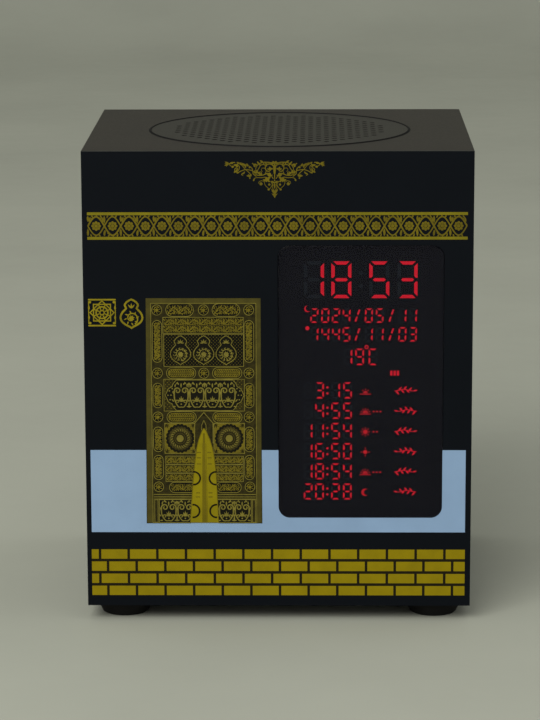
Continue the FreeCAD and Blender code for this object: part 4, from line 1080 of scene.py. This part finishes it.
def sprig(row, x, z):
    """A lying branch as wide as a label: a thin bent stem, leaves by turns and one at the tip."""
    way = 1 if row % 2 == 0 else -1
    stem = [(x + way * (-4.2 + 7.0 * i / 14), z - 0.3 * math.cos(math.pi * i / 7)) for i in range(15)]
    lit_bars.line(stem, 0.34, 0.26)
    for i in range(6):
        root = stem[1 + i * 2]
        lean = (1 if i % 2 else -1) * 50
        lit_bars.leaf(*root, lean if way > 0 else 180 - lean, 1.95 - 0.08 * i, 0.66)
    lit_bars.leaf(stem[-1][0], stem[-1][1], 12 if way > 0 else 168, 1.7, 0.6)


LABEL_WIDTHS = (4.2, 8.1, 6.4, 3.8, 8.6, 4.2)
for row in range(6):
    middle = ROW_UP - ROW_STEP * row
    sky_icon(row, 32.9, middle - 0.3)
    for i in range(round((LABEL_WIDTHS[row] - 4.2) / 1.3)):
        dim_bars.fill(around(36.0 + 1.3 * i, middle - 0.3, 0.42, 4))
    sprig(row, 48.1, middle + 0.1)
for step in range(3):
    lit_bars.box(42.2 + step * 1.25, 89.6, 43.05 + step * 1.25, 91.5)

lit_bars.finish("display_lit_bars", lit, "led")
dim_bars.finish("display_icons", lit_dim, "led")
unlit_bars.finish("display_unlit_bars", unlit, "led")


def rounded_plate(name, x0, x1, z0, z1, y0, y1, corner, material, edge):
    """An upright plate between two depths, with round corners and eased edges."""
    bm = bmesh.new()
    outline = rounded(x0, z0, x1, z1, corner, 12)
    front = [bm.verts.new((x, y0, z)) for x, z in outline]
    back = [bm.verts.new((x, y1, z)) for x, z in outline]
    bm.faces.new(front)
    bm.faces.new(back[::-1])
    for i in range(len(outline)):
        after = (i + 1) % len(outline)
        bm.faces.new((front[i], back[i], back[after], front[after]))
    bmesh.ops.recalc_face_normals(bm, faces=bm.faces)
    thing = piece(name, bm, material, "cabinet")
    bevelled(thing, edge, 2)
    return thing


lens = rounded_plate("smoked_window", LENS_LOW[0], LENS_HIGH[0], LENS_LOW[2], LENS_HIGH[2],
                     LENS_LOW[1], LENS_HIGH[1] - 0.25 * MM, WINDOW_CORNER * MM, smoked,
                     0.25 * MM)
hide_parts("display_window")


# Grille: a plate with round holes in rows that stagger at 45 degrees, and a rolled rim whose outer edge, like
# a thin ring on the board round it, is dark with painted shade
def round_hole_plate():
    radius, pitch, hole = 49.9, 4.3, 1.12
    reach = 41.75
    step = pitch / math.sqrt(2)
    count = math.ceil(reach / step)
    points, edges, holes = [], [], []

    def loop(x, y, r, sides):
        start = len(points)
        for i in range(sides):
            a = 2 * math.pi * i / sides
            points.append(Vector((x + r * math.cos(a), y + r * math.sin(a))))
            edges.append((start + i, start + (i + 1) % sides))

    loop(0, 0, radius, 120)
    for column in range(-count, count + 1):
        for row in range(-count, count + 1):
            x, y = column * step, row * step
            if (column + row) % 2 == 0 and math.hypot(x, y) <= reach:
                holes.append((x, y))
                loop(x, y, hole, 14)
    verts, _, faces = delaunay_2d_cdt(points, edges, [], 1, 0.001)[:3]
    cells = {(round(x / step), round(y / step)) for x, y in holes}
    bm = bmesh.new()
    made = [bm.verts.new((v.x * MM, v.y * MM, GRILLE_HIGH[2] - 0.4 * MM)) for v in verts]
    for face in faces:
        x = sum(verts[i].x for i in face) / len(face)
        y = sum(verts[i].y for i in face) / len(face)
        cell = (round(x / step), round(y / step))
        inside = any((cell[0] + a, cell[1] + b) in cells
                     and math.hypot(x - (cell[0] + a) * step, y - (cell[1] + b) * step) < hole * 0.985
                     for a in (-1, 0, 1) for b in (-1, 0, 1))
        if not inside:
            bm.faces.new([made[i] for i in face])
    thing = piece("perforated_grille", bm, grille_paint, "cabinet")
    solid = thing.modifiers.new("thickness", "SOLIDIFY")
    solid.thickness = 1.0 * MM
    solid.offset = 0.0
    apply_modifiers(thing)
    return thing


def grille_ring(name, base, way, profile, material):
    """A closed turned ring, from radii and distances in millimetres up or down from a height."""
    points = [(r * MM, base + way * rise * MM) for r, rise in profile + profile[:1]]
    lathe(name, points, (0, 0), 120, material, "cabinet")


plate = round_hole_plate()
grille_ring("grille_rim", GRILLE_HIGH[2], -1,
            [(50.6, 3.0), (50.6, 0.75), (50.1, -0.05), (49.85, -0.1), (49.85, 1.0), (49.6, 3.0)],
            grille_paint)
# The rim's outer edge as a dark ring: painted shade for the shadow where the grille meets the board.
grille_ring("grille_edge_painted_shade", GRILLE_HIGH[2], -1,
            [(50.6, 0.74), (50.6, -0.22), (50.48, -0.36), (50.16, -0.36), (50.04, -0.22), (50.04, 0.1)],
            painted_gap_shade)
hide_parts("speaker_grille")
# A thin dark ring on the board round the grille: painted shade for the shadow in the gap.
grille_ring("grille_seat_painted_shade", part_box("top_board")[1][2], 1,
            [(50.5, 0.0), (50.5, 0.04), (51.1, 0.04), (51.1, 0.0)], painted_gap_shade)


# Feet: tapered rubber with eased edges and a sunk screw
def foot_profile():
    height = FOOT_H / MM
    return [(0, 2.4), (2.6, 2.4), (2.6, 0.25), (2.9, 0.0), (8.6, 0.0), (9.0, 0.35), (11.4, height - 0.6),
            (11.6, height - 0.2), (11.6, height), (0, height)]


first_foot = None
for index, (x, y) in enumerate(((-59.5, -47.5), (59.5, -47.5), (-59.5, 47.5), (59.5, 47.5))):
    foot = lathe(f"foot_{index + 1}", [(r * MM, z * MM) for r, z in foot_profile()], (x * MM, y * MM), 48,
                 rubber, "cabinet")
    head = [(0, 1.15), (1.2, 1.2), (2.1, 1.6), (2.3, 2.3), (0, 2.3)]
    lathe(f"foot_screw_{index + 1}", [(r * MM, z * MM) for r, z in head], (x * MM, y * MM), 24,
          plated, "cabinet")
    first_foot = first_foot or foot
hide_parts("feet")


# Screws behind: domed heads with a crossed recess
def domed_heads(name, node, seat, radius, height, material):
    low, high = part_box(node)
    half_x = (high[0] - radius, low[0] + radius)
    half_z = (high[2] - radius, low[2] + radius)
    bm = bmesh.new()
    for x in half_x:
        for z in half_z:
            rings = []
            for r, out in ((radius, 0), (radius, height * 0.45), (radius * 0.86, height * 0.8),
                           (radius * 0.62, height)):
                rings.append([bm.verts.new((x + r * math.cos(2 * math.pi * i / 24), seat + out,
                                            z + r * math.sin(2 * math.pi * i / 24))) for i in range(24)])
            for a, b in zip(rings, rings[1:]):
                bridge(bm, a, b)
            arm, wide = radius * 0.46, radius * 0.11
            cross = [(wide, wide), (wide, arm), (-wide, arm), (-wide, wide), (-arm, wide), (-arm, -wide),
                     (-wide, -wide), (-wide, -arm), (wide, -arm), (wide, -wide), (arm, -wide), (arm, wide)]
            top = seat + height
            edge = [bm.verts.new((x + a, top, z + b)) for a, b in cross]
            deep = [bm.verts.new((x + a * 0.7, top - height * 0.5, z + b * 0.7)) for a, b in cross]
            bridge(bm, edge, deep)
            bm.faces.new(deep)
            outer = rings[-1]
            ring_edges = [bm.edges.get((outer[i], outer[(i + 1) % 24])) for i in range(24)]
            cross_edges = [bm.edges.get((edge[i], edge[(i + 1) % 12])) for i in range(12)]
            bmesh.ops.triangle_fill(bm, edges=ring_edges + cross_edges, use_beauty=True)
    bmesh.ops.recalc_face_normals(bm, faces=bm.faces)
    thing = piece(name, bm, material, "cabinet")
    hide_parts(node)
    return thing


domed_heads("panel_screw_heads", "rear_screws", PANEL_HIGH[1], 2.8 * MM, 1.6 * MM, dark_screw)
domed_heads("plate_screw_heads", "plate_screws", PLATE_HIGH[1], 2.8 * MM, 0.9 * MM, dark_screw)


# Buttons and knob: eased caps, each on the body that it moves with
def eased_block(name, node, body, material, edge):
    low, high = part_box(node)
    bm = bmesh.new()
    bmesh.ops.create_cube(bm, size=1.0)
    span = high - low
    for v in bm.verts:
        v.co = Vector((low[i] + (v.co[i] + 0.5) * span[i] for i in range(3)))
    thing = piece(name, bm, material, body)
    bevelled(thing, edge, 3)
    return thing


for number in range(1, 6):
    node = f"button_{number}"
    low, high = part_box(node)
    middle_x, middle_z = (low[0] + high[0]) / 2, (low[2] + high[2]) / 2
    bm = bmesh.new()
    shell = [(3.7, 2.7, 59.1), (3.7, 2.7, 59.8), (3.0, 2.0, 59.8), (3.0, 2.0, 62.1), (2.75, 1.75, 62.42),
             (2.2, 1.2, 62.5),
             (1.4, 0.8, 62.38)]
    rows = []
    for wide, tall, depth in shell:
        corner = min(0.7, tall * 0.4)
        outline = rounded(-wide, -tall, wide, tall, corner, 5)
        rows.append([bm.verts.new((middle_x + x * MM, depth * MM, middle_z + z * MM)) for x, z in outline])
    for a, b in zip(rows, rows[1:]):
        bridge(bm, a, b)
    bm.faces.new(rows[0])
    bm.faces.new(rows[-1])
    bmesh.ops.recalc_face_normals(bm, faces=bm.faces)
    cap = piece(f"key_cap_{number}", bm, key_grey, f"key_{number}")
    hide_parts(node)
knob = eased_block("slide_knob", "power_switch_knob", "switch_knob", key_grey, 0.3 * MM)
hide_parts("power_switch_knob")


# Floor and a far backdrop in one sweep, light and camera
def sweep():
    bm = bmesh.new()
    lines = []
    profile = [(-3.2, 0.0), (1.9, 0.0)]
    for k in range(1, 11):
        a = math.radians(9 * k)
        profile.append((1.9 + 0.7 * math.sin(a), 0.7 - 0.7 * math.cos(a)))
    profile.append((2.6, 4.6))
    for y, z in profile:
        lines.append([bm.verts.new((x, y, z - 0.00005)) for x in (-3.4, 3.4)])
    for a, b in zip(lines, lines[1:]):
        bm.faces.new((*a, b[1], b[0]))
    mesh = bpy.data.meshes.new("sweep")
    bm.to_mesh(mesh)
    bm.free()
    thing = bpy.data.objects.new("sweep", mesh)
    bpy.context.scene.collection.objects.link(thing)
    mesh.materials.append(floor_paint)
    mesh.polygons.foreach_set("use_smooth", [True] * len(mesh.polygons))


sweep()


def lamp(name, place, aim, size, power, colour=(1, 1, 1)):
    data = bpy.data.lights.new(name, "AREA")
    data.shape = "RECTANGLE"
    data.size, data.size_y = size
    data.energy = power
    data.color = colour
    thing = bpy.data.objects.new(name, data)
    bpy.context.scene.collection.objects.link(thing)
    thing.location = place
    thing.rotation_euler = (Vector(aim) - Vector(place)).to_track_quat("-Z", "Y").to_euler()


lamp("key", (-0.8, -1.7, 1.5), (0, 0, 0.08), (1.6, 1.2), 42)
lamp("overhead", (0.1, 0.3, 2.0), (0, 0.1, 0), (1.8, 1.4), 4)

world = bpy.data.worlds.new("room")
bpy.context.scene.world = world
world.use_nodes = True
world.node_tree.nodes["Background"].inputs["Color"].default_value = (0.96, 0.98, 1.0, 1.0)
world.node_tree.nodes["Background"].inputs["Strength"].default_value = 0.62

camera = bpy.data.objects.new("camera", bpy.data.cameras.new("camera"))
bpy.context.scene.collection.objects.link(camera)
bpy.context.scene.camera = camera
camera.data.sensor_width = 36
camera.data.lens = 147.77
camera.data.clip_start = 0.05
pitch, yaw, roll = 0.20909, -0.0166, -0.00336
forward = Vector((math.sin(yaw) * math.cos(pitch), math.cos(yaw) * math.cos(pitch), -math.sin(pitch)))
right = Vector((math.cos(yaw), -math.sin(yaw), 0.0))
up = right.cross(forward)
right, up = (right * math.cos(roll) + up * math.sin(roll)), (up * math.cos(roll) - right * math.sin(roll))
turn = Matrix((right, up, -forward)).transposed()
camera.matrix_world = Matrix.Translation((0.0150, -1.1491, 0.3326)) @ turn.to_4x4()

bpy.context.scene.view_settings.view_transform = "Standard"
